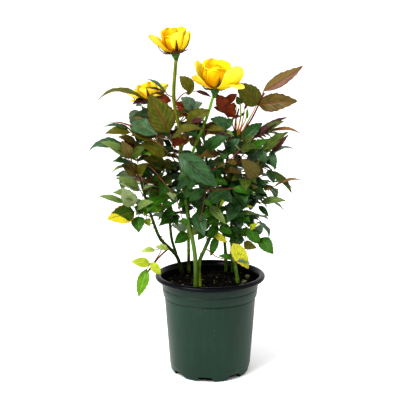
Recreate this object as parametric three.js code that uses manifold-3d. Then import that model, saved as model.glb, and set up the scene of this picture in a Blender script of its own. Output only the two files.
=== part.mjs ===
// A rose bush in a round nursery pot: the pot, its soil, the canes that rise from the soil, the side shoots
// they carry, three open blooms and the masses of leaves. Millimetres, +Z up. The origin is the centre of the
// pot's flat underside, -Y is the front of the bush and +X is on its right.
//
// The pot is one turned shell with drainage notches in its foot. Each cane is a tapering limb from a flat cut
// at soil level to its tip. A mass of leaves is an uneven ball of its own size that is pulled out to the tips
// of its longest leaves, and it is cut round the canes that run up through it and round its neighbours.
import * as THREE from 'three';
import { mergeVertices } from 'three/addons/utils/BufferGeometryUtils.js';
import Module from 'manifold-3d';

const wasm = await Module();
wasm.setup();

// ---- Driving dimensions ----

// The pot, a 130 mm (5 inch) one
const RIM_RADIUS = 65;
const POT_HEIGHT = 118.5;
const FOOT_RADIUS = 45.3;
const WALL_LOW_RADIUS = 48.2; // where the straight wall starts, above the rounded foot
const WALL_LOW_HEIGHT = 9.5;
const FOOT_STEP = [0.3, 1]; // the small step between the foot and the wall, out and up
const WALL_TOP_RADIUS = 54.1; // where the straight wall meets the collar
const COLLAR_HEIGHT = 92; // lower edge of the collar
const COLLAR_STEP = 1.2; // how far the collar stands out of the wall
const GROOVE_HEIGHT = 104; // the line between the collar's two bands
const GROOVE_DEPTH = 0.6;
const THROAT_RADIUS = 57.8; // outside of the wall, right under the rim
const RIM_DEPTH = 5.8; // height of the rolled rim
const WALL = 1.5;
const FLOOR = 2.4;
const POT_SIDES = 48;
const ARC_STEPS = 6; // along the rim's roll, and half as many along the foot's curve
const NOTCHES = 8;
const FIRST_NOTCH_DEG = -97; // the front notch, just left of the middle
const NOTCH_TOP_WIDTH = 12.5;
const NOTCH_FOOT_WIDTH = 19;
const NOTCH_HEIGHT = 4.6;
const NOTCH_DEPTH = 6.5; // how far a notch reaches in from the foot's edge

// The soil fills the pot to a little under its rim
const SOIL_HEIGHT = 109;
const SOIL_GAP = 0.3;

// Canes and leaves
const SEAT_GAP = 0.3; // between a piece and what it stands on
const CUT_GAP = 0.5; // between a mass and what it is cut round
const MERGE_WITHIN = 1e-4; // corners this near are one
const LIMB_SIDES = 7;
const LIMB_STEP = 17; // along a limb, between its rings
const FLARE = 1.1; // how much wider a cane is at the soil
const FLARE_HEIGHT = 9;
const MASS_DETAIL = 3; // subdivision of the ball that a mass is shaped from
const LEAST_REACH = 0.8; // share of its radii that a mass has between its lobes
const LOBES = 11;
const LOBE_HEIGHT = 0.24;
const LOBE_WIDTH = 0.5; // radians
const TIP_WIDTH = 0.42; // radians round a tip that a mass is pulled out to
const BLOOM_SIDES = 20;

const COLOURS = {
  pot: 0x2f5a45,
  soil: 0x1c1511,
  cane: 0x5f7a2c,
  shoot: 0x9a5a3c,
  bloom: 0xf6c915,
  dark_leaves: 0x27502f,
  bronze_leaves: 0x5c5228,
  pale_leaves: 0x6f9148,
  yellow_leaves: 0xd9c93a,
};

// ---- The canes. Each route goes from the soil, or from the cane that bears it, to its tip ----

const CANES = {
  cane_left: {
    route: [
      [-34, 34, SOIL_HEIGHT], [-40, 28, 131], [-49, 20, 144], [-59, 12, 157], [-68, 2, 184],
      [-81, -8, 233], [-86, -10, 249],
    ],
    radii: [2.2, 1.2],
  },
  cane_middle: {
    route: [
      [-26, 38, SOIL_HEIGHT], [-26, 30, 146], [-26, 18, 185], [-26, 0, 239], [-21, -6, 260],
      [-4, -16, 303], [5, -20, 333],
    ],
    radii: [1.9, 1.4],
  },
  cane_front: {
    route: [
      [-18, -25, SOIL_HEIGHT], [-18.5, -24, 146], [-25, -16, 188], [-32, -8, 239], [-35, -5, 289],
      [-41, -5, 323], [-38, -5, 372],
    ],
    radii: [2.5, 1.5],
  },
  cane_front_fork: {
    route: [
      [-10.5, -22, SOIL_HEIGHT], [-11, -20, 137], [-6, -16, 152], [6, -10, 180], [14, -4, 219],
      [22, 3, 268],
    ],
    radii: [2.4, 1.1],
  },
  cane_right: {
    route: [[33, -10, SOIL_HEIGHT], [29, -6, 133], [25, -2, 159], [27, 2, 206], [32, 8, 278]],
    radii: [2.1, 1.3],
  },
  cane_right_back: {
    route: [[20, 41, SOIL_HEIGHT], [18, 33, 147], [12, 28, 183], [-4, 24, 250], [-8, 22, 284]],
    radii: [2.0, 1.1],
  },
  cane_right_outer: {
    route: [[28, 40, SOIL_HEIGHT], [27, 30, 150], [36, 18, 186], [52, 4, 241], [58, 0, 258]],
    radii: [2.0, 1.1],
  },
};

const SHOOTS = {
  cane_left_fork: { // rises from the left cane's first bud to the left bloom
    route: [[-41, 31, 134], [-46, 28, 152], [-50, 24, 190], [-61, 20, 240], [-61, 19, 286], [-67, 18, 314]],
    radii: [1.7, 1.2],
  },
  shoot_crest: { // the red leaf stalk that carries the highest leaves
    route: [[33.2, 8, 279.2], [46, 7, 297], [62, 4, 330]],
    radii: [1.0, 0.8],
  },
  shoot_middle: {
    route: [[30.7, 8, 278.9], [29, 8, 293], [33, 6, 312]],
    radii: [1.0, 0.8],
  },
  shoot_front: {
    route: [[-32.6, -11.1, 239], [-28, -30, 246], [-24, -48, 252]],
    radii: [1.0, 0.8],
  },
  shoot_back_low: {
    route: [[12, 30.6, 184], [8, 44, 190], [2, 60, 198]],
    radii: [1.0, 0.8],
  },
  shoot_back_right: {
    route: [[36.5, 20.6, 188], [44, 36, 214], [50, 50, 246]],
    radii: [1.1, 0.8],
  },
  stalk_yellow_left: {
    route: [[-49.8, 17, 143.9], [-60, -6, 139], [-73, -37, 127]],
    radii: [1.1, 0.8],
  },
  stalk_yellow_right: {
    route: [[26.3, -4.4, 157.5], [29, -16, 158], [38, -34, 149]],
    radii: [1.1, 0.8],
  },
};

// ---- The blooms: where the stem ends, the way the bloom looks, its width across and its height ----

const BLOOMS = {
  bloom_tall: { foot: [-38, -5, 372.6], looks: [-0.24, -0.08, 1], width: 50, height: 33 },
  bloom_wide: { foot: [5.2, -20.2, 333.6], looks: [0.14, -0.16, 1], width: 62, height: 37 },
  bloom_left: { foot: [-67.1, 18, 314.6], looks: [-0.22, 0.1, 1], width: 44, height: 28 },
};
// Half the outline of a bloom, as shares of half its width and of its height: the green hip, then the petals
// out to the open rim and down into the hollow middle.
const BLOOM_OUTLINE = [
  [0, 0], [0.07, 0], [0.15, 0.1], [0.2, 0.17], [0.5, 0.23], [0.78, 0.42],
  [0.95, 0.68], [0.9, 0.9], [0.62, 1], [0.34, 0.93], [0, 0.86],
];
const PETAL_WAVES = 5;
const PETAL_WAVE = 0.05; // share of the width by which the outer petals stand out

// ---- The masses of leaves: the middle, the half sizes, and the tips of the longest leaves ----

const MASSES = {
  leaves_yellow_left: {
    at: [-75, -41, 122],
    size: [13, 11, 20],
    tips: [[-86, -44, 137], [-80, -38, 100]],
    colour: 'yellow_leaves',
  },
  leaves_yellow_right: {
    at: [40, -38, 145],
    size: [14, 12, 16],
    tips: [[46, -40, 127]],
    colour: 'yellow_leaves',
  },
  leaves_left_top: {
    at: [-84, -2, 309],
    size: [32, 32, 25],
    tips: [[-128, -6, 322], [-119, -18, 292]],
    colour: 'bronze_leaves',
  },
  leaves_left_shoulder: {
    at: [-99, -16, 257],
    size: [33, 38, 27],
    tips: [[-137, -16, 264], [-126, -20, 292]],
    colour: 'dark_leaves',
  },
  leaves_left_low: {
    at: [-92, -18, 201],
    size: [29, 34, 27],
    tips: [[-127, -16, 210], [-118, -14, 184]],
    colour: 'pale_leaves',
  },
  leaves_middle_top: {
    at: [-36, -38, 294],
    size: [34, 38, 32],
    tips: [[-64, -40, 325], [-6, -56, 290]],
    colour: 'bronze_leaves',
  },
  leaves_middle_front: {
    at: [-20, -54, 243],
    size: [40, 38, 30],
    tips: [[6, -84, 224], [-52, -66, 228]],
    colour: 'dark_leaves',
  },
  leaves_middle_low: {
    at: [-30, -22, 189],
    size: [31, 34, 31],
    tips: [[-60, -26, 180], [-8, -40, 164]],
    colour: 'dark_leaves',
  },
  leaves_right_crest: {
    at: [62, 2, 329],
    size: [38, 26, 21],
    tips: [[105, 0, 358], [100, -4, 322], [22, -2, 334]],
    colour: 'bronze_leaves',
  },
  leaves_right_shoulder: {
    at: [50, -22, 274],
    size: [50, 42, 29],
    tips: [[88, -16, 305], [103, -10, 286], [98, -20, 254]],
    colour: 'dark_leaves',
  },
  leaves_right_middle: {
    at: [56, -24, 221],
    size: [40, 42, 25],
    tips: [[104, -14, 230], [94, -20, 214], [60, -72, 232]],
    colour: 'dark_leaves',
  },
  leaves_right_low: {
    at: [44, -14, 176],
    size: [36, 36, 22],
    tips: [[76, -22, 148], [6, -34, 160]],
    colour: 'dark_leaves',
  },
  leaves_back_top: {
    at: [-2, 48, 298],
    size: [54, 40, 29],
    tips: [[-24, 88, 316], [50, 72, 306]],
    colour: 'bronze_leaves',
  },
  leaves_back_left: {
    at: [-62, 52, 246],
    size: [43, 44, 30],
    tips: [[-98, 80, 258], [-70, 92, 226]],
    colour: 'dark_leaves',
  },
  leaves_back_right: {
    at: [50, 56, 246],
    size: [45, 44, 31],
    tips: [[86, 88, 258], [40, 98, 232]],
    colour: 'dark_leaves',
  },
  leaves_back_low: {
    at: [-4, 64, 194],
    size: [54, 36, 23],
    tips: [[-58, 80, 182], [58, 84, 188]],
    colour: 'pale_leaves',
  },
};

// ---- Shapes ----

const UP = new THREE.Vector3(0, 0, 1);
const vector = (p) => new THREE.Vector3(...p);

function material(colour, roughness = 0.6) {
  return new THREE.MeshStandardMaterial({ color: COLOURS[colour], roughness, metalness: 0 });
}

// A geometry with nothing but its corners' places, and each shared corner only once.
function withPlacesOnly(geometry) {
  const bare = new THREE.BufferGeometry().setAttribute('position', geometry.getAttribute('position'));
  bare.setIndex(geometry.index);
  return mergeVertices(bare, MERGE_WITHIN);
}

// A closed geometry as a solid. Merging leaves slivers with two corners alike at poles, which are dropped.
function solidOf(geometry) {
  const merged = withPlacesOnly(geometry);
  const corners = [];
  for (let i = 0; i < merged.index.count; i += 3) {
    const [a, b, c] = [0, 1, 2].map((k) => merged.index.getX(i + k));
    if (a !== b && b !== c && c !== a) corners.push(a, b, c);
  }
  const vertProperties = merged.getAttribute('position').array;
  const triVerts = new Uint32Array(corners);
  return new wasm.Manifold(new wasm.Mesh({ numProp: 3, vertProperties, triVerts }));
}

// The largest piece of a solid, as a named mesh.
function meshOf(name, solid, look) {
  const [largest] = solid.decompose().sort((a, b) => b.volume() - a.volume());
  const { vertProperties, triVerts } = largest.getMesh();
  const geometry = new THREE.BufferGeometry();
  geometry.setAttribute('position', new THREE.BufferAttribute(vertProperties, 3));
  geometry.setIndex(new THREE.BufferAttribute(triVerts, 1));
  geometry.computeVertexNormals();
  const mesh = new THREE.Mesh(geometry, look);
  mesh.name = name;
  return mesh;
}

// A profile of [radius, height] points turned round the Z axis.
function turned(profile, sides) {
  const geometry = new THREE.LatheGeometry(profile.map(([r, z]) => new THREE.Vector2(r, z)), sides);
  return geometry.rotateX(Math.PI / 2);
}

// Points along an arc of an ellipse, between two turns counted in degrees from straight outwards.
function arc([r, z], [across, up], from, to, steps) {
  return Array.from({ length: steps + 1 }, (_, i) => {
    const turn = THREE.MathUtils.degToRad(from + ((to - from) * i) / steps);
    return [r + across * Math.cos(turn), z + up * Math.sin(turn)];
  });
}

// The pot's shell: outside from the underside up to the rolled rim, then inside down to the floor.
function potProfile() {
  const [stepOut, stepUp] = FOOT_STEP;
  const footCurve = [WALL_LOW_RADIUS - stepOut - FOOT_RADIUS, WALL_LOW_HEIGHT - stepUp];
  const collarRadius = WALL_TOP_RADIUS + COLLAR_STEP;
  const rollSize = [(RIM_RADIUS - THROAT_RADIUS) / 2, RIM_DEPTH / 2];
  const rollMiddle = [RIM_RADIUS - rollSize[0], POT_HEIGHT - RIM_DEPTH / 2];
  return [
    [0, 0],
    ...arc([FOOT_RADIUS, footCurve[1]], footCurve, -90, 0, ARC_STEPS / 2),
    [WALL_LOW_RADIUS, WALL_LOW_HEIGHT],
    [WALL_TOP_RADIUS, COLLAR_HEIGHT],
    [collarRadius, COLLAR_HEIGHT + COLLAR_STEP],
    [THROAT_RADIUS - COLLAR_STEP, GROOVE_HEIGHT - COLLAR_STEP],
    [THROAT_RADIUS - COLLAR_STEP - GROOVE_DEPTH / 2, GROOVE_HEIGHT],
    [THROAT_RADIUS, POT_HEIGHT - RIM_DEPTH],
    ...arc(rollMiddle, rollSize, -90, 135, ARC_STEPS),
    [THROAT_RADIUS - WALL, POT_HEIGHT - RIM_DEPTH],
    [collarRadius - WALL, GROOVE_HEIGHT - COLLAR_STEP],
    [WALL_TOP_RADIUS - WALL, COLLAR_HEIGHT],
    [WALL_LOW_RADIUS - WALL, WALL_LOW_HEIGHT],
    [FOOT_RADIUS - WALL, FLOOR],
    [0, FLOOR],
  ];
}

// A drainage notch is wider at the ground than at its top.
function notch(angle) {
  const [top, foot] = [NOTCH_TOP_WIDTH / 2, NOTCH_FOOT_WIDTH / 2];
  const outline = new THREE.Shape();
  outline.moveTo(-foot, -1);
  outline.lineTo(foot, -1);
  outline.lineTo(top, NOTCH_HEIGHT);
  outline.lineTo(-top, NOTCH_HEIGHT);
  const geometry = new THREE.ExtrudeGeometry(outline, { depth: NOTCH_DEPTH * 2, bevelEnabled: false });
  geometry.rotateX(Math.PI / 2).rotateZ(Math.PI / 2); // the outline stands up and faces along the radius
  geometry.translate(FOOT_RADIUS - NOTCH_DEPTH, 0, 0);
  return solidOf(geometry.rotateZ(angle));
}

function pot() {
  let shell = solidOf(turned(potProfile(), POT_SIDES));
  for (let i = 0; i < NOTCHES; i += 1) {
    shell = shell.subtract(notch(THREE.MathUtils.degToRad(FIRST_NOTCH_DEG + (360 * i) / NOTCHES)));
  }
  return shell;
}

// Soil stands SOIL_GAP clear of the pot's floor and walls, and its foot clears the notches.
function soil() {
  const wall = WALL + SOIL_GAP;
  const collarRadius = WALL_TOP_RADIUS + COLLAR_STEP;
  return solidOf(turned([
    [0, FLOOR + SOIL_GAP],
    [FOOT_RADIUS - NOTCH_DEPTH - 1, FLOOR + SOIL_GAP],
    [WALL_LOW_RADIUS - wall - SOIL_GAP, WALL_LOW_HEIGHT],
    [WALL_TOP_RADIUS - wall, COLLAR_HEIGHT],
    [collarRadius - wall, GROOVE_HEIGHT - COLLAR_STEP],
    [collarRadius - wall + SOIL_GAP, SOIL_HEIGHT],
    [0, SOIL_HEIGHT],
  ], POT_SIDES));
}

// A tapering limb along a smooth curve through its route, `spare` wider all round and longer at its ends.
// A limb that stands on the soil starts in a flat ring, widened by the flare of its foot.
function limb({ route, radii, rooted }, spare = 0) {
  const start = vector(route[0]);
  if (rooted) start.z += SEAT_GAP - spare;
  const curve = new THREE.CatmullRomCurve3([start, ...route.slice(1).map(vector)]);
  const length = curve.getLength();
  const steps = Math.ceil(length / LIMB_STEP);
  const { tangents, normals } = curve.computeFrenetFrames(steps);
  const corners = [];
  for (let i = 0; i <= steps; i += 1) {
    const share = i / steps;
    const centre = curve.getPointAt(share);
    const along = i === 0 && rooted ? UP : tangents[i];
    const across = normals[i].clone().projectOnPlane(along).normalize();
    const other = along.clone().cross(across);
    const flare = rooted ? FLARE * Math.exp((-share * length) / FLARE_HEIGHT) : 0;
    const radius = THREE.MathUtils.lerp(radii[0], radii[1], share) + flare + spare;
    if (i === 0 && !rooted) centre.addScaledVector(along, -spare);
    if (i === steps) centre.addScaledVector(along, spare);
    for (let k = 0; k < LIMB_SIDES; k += 1) {
      const turn = (2 * Math.PI * k) / LIMB_SIDES;
      const corner = centre.clone();
      corner.addScaledVector(across, radius * Math.cos(turn)).addScaledVector(other, radius * Math.sin(turn));
      corners.push(corner);
    }
    if (i === 0 || i === steps) corners.push(centre);
  }
  // The first cap's middle follows the first ring, and the last cap's middle is the last point.
  const ring = (i) => (i === 0 ? 0 : 1) + i * LIMB_SIDES;
  const faces = [];
  for (let k = 0; k < LIMB_SIDES; k += 1) {
    const next = (k + 1) % LIMB_SIDES;
    faces.push(LIMB_SIDES, next, k);
    for (let i = 0; i < steps; i += 1) {
      const [low, high] = [ring(i), ring(i + 1)];
      faces.push(low + k, low + next, high + next, low + k, high + next, high + k);
    }
    faces.push(corners.length - 1, ring(steps) + k, ring(steps) + next);
  }
  return solidOf(new THREE.BufferGeometry().setFromPoints(corners).setIndex(faces));
}

// A bloom: its outline turned round its own axis, with the outer petals standing out in waves.
function bloom({ foot, looks, width, height }, spare = 0) {
  const half = width / 2;
  const outline = BLOOM_OUTLINE.map(([r, z]) => [r * half + (r > 0 ? spare : 0), z * height]);
  const geometry = turned(outline, BLOOM_SIDES);
  const place = geometry.getAttribute('position');
  for (let i = 0; i < place.count; i += 1) {
    const [x, y] = [place.getX(i), place.getY(i)];
    const out = Math.min(1, Math.hypot(x, y) / half);
    const wave = 1 + PETAL_WAVE * Math.cos(PETAL_WAVES * Math.atan2(y, x)) * out * out;
    place.setXY(i, x * wave, y * wave);
  }
  const turn = new THREE.Quaternion().setFromUnitVectors(UP, vector(looks).normalize());
  return solidOf(geometry.applyQuaternion(turn).translate(foot[0], foot[1], foot[2] + SEAT_GAP - spare));
}

// Random numbers from 0 to 1 by the usual linear congruence, the same ones for the same seed.
const [FACTOR, TERM, STATES] = [1664525, 1013904223, 2 ** 32];
function randomFrom(seed) {
  let state = seed;
  return () => {
    state = (Math.imul(state, FACTOR) + TERM) >>> 0;
    return state / STATES;
  };
}

// A mass of leaves: a ball stretched to its half sizes, raised in lobes and pulled out to its leaf tips.
function mass({ at, size, tips }, seed, spare = 0) {
  const random = randomFrom(seed);
  const aim = () => new THREE.Vector3(random() - 0.5, random() - 0.5, random() - 0.5).normalize();
  const lobes = Array.from({ length: LOBES }, aim);
  const middle = vector(at);
  const half = vector(size);
  const pulls = tips.map((tip) => vector(tip).sub(middle).divide(half));
  const near = (a, b, width) => Math.exp(-((a.angleTo(b) / width) ** 2));
  const ball = withPlacesOnly(new THREE.IcosahedronGeometry(1, MASS_DETAIL));
  const points = ball.getAttribute('position');
  const wayTo = (_, i) => new THREE.Vector3().fromBufferAttribute(points, i).normalize();
  const ways = Array.from({ length: points.count }, wayTo);
  const shaped = ways.map((way) => {
    let reach = LEAST_REACH + LOBE_HEIGHT * Math.max(...lobes.map((lobe) => near(way, lobe, LOBE_WIDTH)));
    for (const pull of pulls) reach += Math.max(0, pull.length() - reach) * near(way, pull, TIP_WIDTH) ** 2;
    return way.clone().multiplyScalar(reach);
  });
  for (const pull of pulls) { // the nearest corner goes right out to the tip
    const angles = ways.map((way) => way.angleTo(pull));
    shaped[angles.indexOf(Math.min(...angles))].copy(pull);
  }
  shaped.forEach((p, i) => {
    const corner = p.multiply(half).add(middle).addScaledVector(ways[i], spare);
    points.setXYZ(i, corner.x, corner.y, corner.z);
  });
  return solidOf(ball);
}

// ---- The bush ----

const bush = new THREE.Group();
bush.name = 'rose_bush';
bush.add(meshOf('pot', pot(), material('pot', 0.45)));
bush.add(meshOf('soil', soil(), material('soil', 1)));

const inTheWay = []; // what a mass is cut round, each a little larger than the piece itself
for (const [limbs, rooted] of [[CANES, true], [SHOOTS, false]]) {
  for (const [name, shape] of Object.entries(limbs)) {
    const colour = name.startsWith('cane') ? 'cane' : 'shoot';
    bush.add(meshOf(name, limb({ ...shape, rooted }), material(colour)));
    inTheWay.push(limb({ ...shape, rooted }, CUT_GAP));
  }
}
for (const [name, shape] of Object.entries(BLOOMS)) {
  bush.add(meshOf(name, bloom(shape), material('bloom', 0.5)));
  inTheWay.push(bloom(shape, CUT_GAP));
}
Object.entries(MASSES).forEach(([name, shape], i) => {
  const seed = i + 1;
  const cut = inTheWay.reduce((solid, other) => solid.subtract(other), mass(shape, seed));
  bush.add(meshOf(name, cut, material(shape.colour, 0.7)));
  inTheWay.push(mass(shape, seed, CUT_GAP));
});

export default bush;
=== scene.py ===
# %% [markdown]
# # A yellow rose bush in a nursery pot
#
# The bush is built from the ground up: pot, soil, canes, leaves, blooms. Everything is in metres, in
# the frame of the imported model: the origin is the middle of the pot's underside, +Z is up and -Y is the
# front. Every shape is a surface worked out with numpy on a grid of two parameters, one along it and
# one round it.

import math

import bpy
import numpy as np
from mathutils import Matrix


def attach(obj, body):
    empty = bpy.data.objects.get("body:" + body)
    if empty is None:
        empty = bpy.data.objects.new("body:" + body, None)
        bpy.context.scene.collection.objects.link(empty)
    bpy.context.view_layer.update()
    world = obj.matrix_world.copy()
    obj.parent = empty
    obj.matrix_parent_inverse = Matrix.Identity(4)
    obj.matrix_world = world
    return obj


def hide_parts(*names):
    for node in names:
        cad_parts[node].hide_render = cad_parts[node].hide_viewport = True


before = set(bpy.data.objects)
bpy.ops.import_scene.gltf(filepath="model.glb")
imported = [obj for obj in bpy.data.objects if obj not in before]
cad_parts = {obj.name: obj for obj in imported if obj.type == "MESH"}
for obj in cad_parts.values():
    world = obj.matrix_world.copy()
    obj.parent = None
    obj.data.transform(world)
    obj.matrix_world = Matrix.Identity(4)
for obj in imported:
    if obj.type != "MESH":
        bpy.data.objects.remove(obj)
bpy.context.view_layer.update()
MM = 0.001

# %% [markdown]
# ## The camera
#
# It stands a metre in front of the bush, as high as the tallest bloom, and looks down by eleven
# degrees, so that the soil shows inside the pot's rim. `seen` is its inverse: a place in its view and a
# distance behind the middle of the pot give one point of space, which is how the most visible leaves
# are put in their places.

# %% Camera
CAMERA_PLACE = np.array([-2.4, -1000.0, 395.5])  # mm
CAMERA_PITCH = 0.1961  # radians
VIEW_SIDE = 416  # pixels across and down the view
VIEW_LENS = 873.5  # the lens's length, in the same pixels
SENSOR = 36.0  # mm

camera_data = bpy.data.cameras.new("camera")
camera_data.sensor_width = SENSOR
camera_data.lens = SENSOR * VIEW_LENS / VIEW_SIDE
camera = bpy.data.objects.new("camera", camera_data)
camera.location = CAMERA_PLACE * MM
camera.rotation_euler = (math.pi / 2 - CAMERA_PITCH, 0, 0)
bpy.context.scene.collection.objects.link(camera)
bpy.context.scene.camera = camera


def seen(across, down, depth):
    """The point, in mm, that shows at this place of the view, `depth` mm behind the middle of the pot.

    The place gives a ray's slopes; the ray is turned down by the pitch and followed to that depth.
    """
    right = (across - VIEW_SIDE / 2) / VIEW_LENS
    up = (VIEW_SIDE / 2 - down) / VIEW_LENS
    away = math.cos(CAMERA_PITCH) + up * math.sin(CAMERA_PITCH)
    rise = up * math.cos(CAMERA_PITCH) - math.sin(CAMERA_PITCH)
    reach = (depth - CAMERA_PLACE[1]) / away
    return np.array([CAMERA_PLACE[0] + right * reach, depth, CAMERA_PLACE[2] + rise * reach])


print("lens, mm:", round(camera_data.lens, 2))

# %% [markdown]
# ## Two helpers for all shapes
#
# A piece is a list of closed shells. Most shells here are the same thing: rings of points, one after
# the other, that are joined by four-sided faces and closed at both ends. `ring_faces` numbers those
# faces, and `new_piece` puts the joined points and faces into one mesh, tells the frame what it stands
# for and gives it its finish.

# %% Rings to faces, faces to pieces
def ring_faces(shells, rings, around):
    """Point numbers of the faces of many shells, each of `rings` rings of `around` points.

    A quad joins two neighbours on a ring to the same two on the next; one face closes each end.
    """
    start = np.arange(shells)[:, None, None] * rings * around
    low = start + np.arange(rings - 1)[None, :, None] * around
    point = np.arange(around)[None, None, :]
    after = (point + 1) % around
    quads = np.stack([low + point, low + after, low + around + after, low + around + point], -1)
    first = start[:, :, 0] + np.arange(around)[None, ::-1]
    last = start[:, :, 0] + (rings - 1) * around + np.arange(around)[None]
    return quads, first, last


class Shells:
    """Collects closed shells, in mm, with a finish number and a flat place for each face corner."""

    def __init__(self):
        self.points, self.corners, self.sizes, self.finishes, self.places = [], [], [], [], []
        self.count = 0

    def add(self, points, faces, finishes, places=None):
        """Adds points and lists of faces, with a finish number for each face of each list."""
        corners = np.concatenate([rows.reshape(-1) for rows in faces])
        self.points.append(points.reshape(-1, 3))
        self.corners.append(corners + self.count)
        for rows, finish in zip(faces, finishes):
            of_each = np.broadcast_to(finish, rows.shape[:-1]).reshape(-1)
            self.finishes.append(of_each)
            self.sizes.append(np.full(len(of_each), rows.shape[-1]))
        self.places.append(np.zeros((len(corners), 2)) if places is None else places)
        self.count += points.reshape(-1, 3).shape[0]

    def add_rings(self, rings, finish=0):
        """Adds the shells of an array (shells, rings, around, 3), or of one without its first number."""
        rings = rings if rings.ndim == 4 else rings[None]
        of_shell = np.broadcast_to(finish, rings.shape[:1])
        self.add(rings, ring_faces(*rings.shape[:3]), (of_shell[:, None, None], of_shell, of_shell))


def new_piece(name, shells, materials, replaces=(), smooth=60, uv=None):
    """Makes the piece's mesh, shaded smooth except over edges sharper than `smooth` degrees.

    `finishes` numbers pick from `materials`; `replaces` names the solids of the frame that it stands for.
    """
    mesh = bpy.data.meshes.new(name)
    points = np.concatenate(shells.points) * MM
    corners = np.concatenate(shells.corners)
    sizes = np.concatenate(shells.sizes)
    mesh.vertices.add(len(points))
    mesh.vertices.foreach_set("co", points.astype(np.float32).ravel())
    mesh.loops.add(len(corners))
    mesh.loops.foreach_set("vertex_index", corners.astype(np.int32))
    mesh.polygons.add(len(sizes))
    mesh.polygons.foreach_set("loop_start", (np.cumsum(sizes) - sizes).astype(np.int32))
    mesh.polygons.foreach_set("loop_total", sizes.astype(np.int32))
    used, finishes = np.unique(np.concatenate(shells.finishes), return_inverse=True)
    for number in used:
        mesh.materials.append(materials[number])
    mesh.polygons.foreach_set("material_index", finishes.astype(np.int32).ravel())
    if uv:
        layer = mesh.uv_layers.new(name=uv)
        layer.data.foreach_set("uv", np.concatenate(shells.places).astype(np.float32).ravel())
    mesh.update(calc_edges=True)
    mesh.validate()
    mesh.shade_smooth()
    mesh.set_sharp_from_angle(angle=math.radians(smooth))
    piece = bpy.data.objects.new(name, mesh)
    bpy.context.scene.collection.objects.link(piece)
    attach(piece, "root")
    if replaces:
        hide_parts(*replaces)
    print(f"{name}: {int((sizes - 2).sum())} triangles, {len(used)} finishes")


# %% [markdown]
# ## Finishes from nodes
#
# A finish is a small tree of shader nodes. Writing each link out by hand hides what the tree does, so
# `Tree` has one short method for each kind of node used here. Colours are written as the eye sees them
# on a screen and turned into the linear numbers that the renderer adds up.

# %% A short way to write node trees
def screen(red, green, blue):
    """A screen colour, 0 to 255, as linear light: the standard curve, a 2.4 power over a short line."""
    share = np.array([red, green, blue]) / 255
    light = np.where(share <= 0.04045, share / 12.92, ((share + 0.055) / 1.055) ** 2.4)
    return (*light.tolist(), 1.0)


class Tree:
    """A material with one Principled surface. Inputs may be numbers, colours or other nodes' sockets."""

    def __init__(self, name, **surface):
        self.material = bpy.data.materials.new(name)
        self.material.use_nodes = True
        self.nodes = self.material.node_tree.nodes
        self.links = self.material.node_tree.links
        self.surface = self.nodes["Principled BSDF"]
        for socket, value in surface.items():
            self.put(self.surface.inputs[socket.replace("_", " ")], value)

    def put(self, socket, value):
        """Links a socket to another node's output, or sets it to a plain value."""
        if isinstance(value, bpy.types.NodeSocket):
            self.links.new(value, socket)
        else:
            socket.default_value = value

    def node(self, kind, inputs=(), **settings):
        """A node of this kind with its settings and its inputs, which are numbered or named."""
        made = self.nodes.new(kind)
        for name, value in settings.items():
            setattr(made, name, value)
        for socket, value in dict(inputs).items():
            self.put(made.inputs[socket], value)
        return made

    def place(self):
        """The shaded point in the object's own metres."""
        return self.node("ShaderNodeTexCoord").outputs["Object"]

    def height(self, where):
        """How far up a place lies."""
        return self.node("ShaderNodeSeparateXYZ", {0: where}).outputs["Z"]

    def drawn_out(self, where, scale):
        """The place with its axes scaled: a small number draws a pattern out along that axis."""
        return self.node("ShaderNodeMapping", {"Vector": where, "Scale": scale}).outputs[0]

    def math(self, operation, *values):
        """One sum, product or other operation on numbers or sockets."""
        return self.node("ShaderNodeMath", enumerate(values), operation=operation).outputs[0]

    def noise(self, where, scale, detail=3.0, roughness=0.5):
        """Cloudy values from 0 to 1; `scale` is about the number of clouds to one unit of the place."""
        inputs = {"Vector": where, "Scale": scale, "Detail": detail, "Roughness": roughness}
        return self.node("ShaderNodeTexNoise", inputs).outputs["Fac"]

    def ramp(self, value, low, high, out=(0.0, 1.0)):
        """Straight change from out[0] to out[1] while value goes from low to high."""
        inputs = {"Value": value, "From Min": low, "From Max": high, "To Min": out[0], "To Max": out[1]}
        return self.node("ShaderNodeMapRange", inputs, clamp=True).outputs["Result"]

    def mix(self, share, first, second):
        """The first colour where the share is 0, the second where it is 1."""
        made = self.node("ShaderNodeMix", data_type="RGBA")
        for socket, value in zip((0, 6, 7), (share, first, second)):
            self.put(made.inputs[socket], value)
        return made.outputs[2]

    def bump(self, height, strength, distance):
        """Lights the surface as if it rose by the height times the distance, in metres."""
        inputs = {"Height": height, "Strength": strength, "Distance": distance}
        self.put(self.surface.inputs["Normal"], self.node("ShaderNodeBump", inputs).outputs[0])

    def colour(self, value):
        """Gives the surface its colour and returns the finished material."""
        self.put(self.surface.inputs["Base Color"], value)
        return self.material

    def cloudy(self, scale, detail, low, high, first, second):
        """The first colour with clouds of the second, which begin at `low` and are full at `high`."""
        clouds = self.noise(self.place(), scale, detail)
        return self.mix(self.ramp(clouds, low, high), first, second)


# %% [markdown]
# ## The pot
#
# A nursery pot is blown or pressed from thin green plastic: a straight cone, a collar in two bands with
# a fine groove under each, and a rolled rim, with drainage notches pressed into the foot. A Spin
# modifier would turn a profile round, but the notches break the symmetry. So the pot is a surface of
# two parameters, the angle and the place along the profile, and the foot is lifted to the notch's roof
# wherever the angle is inside a notch.

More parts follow.
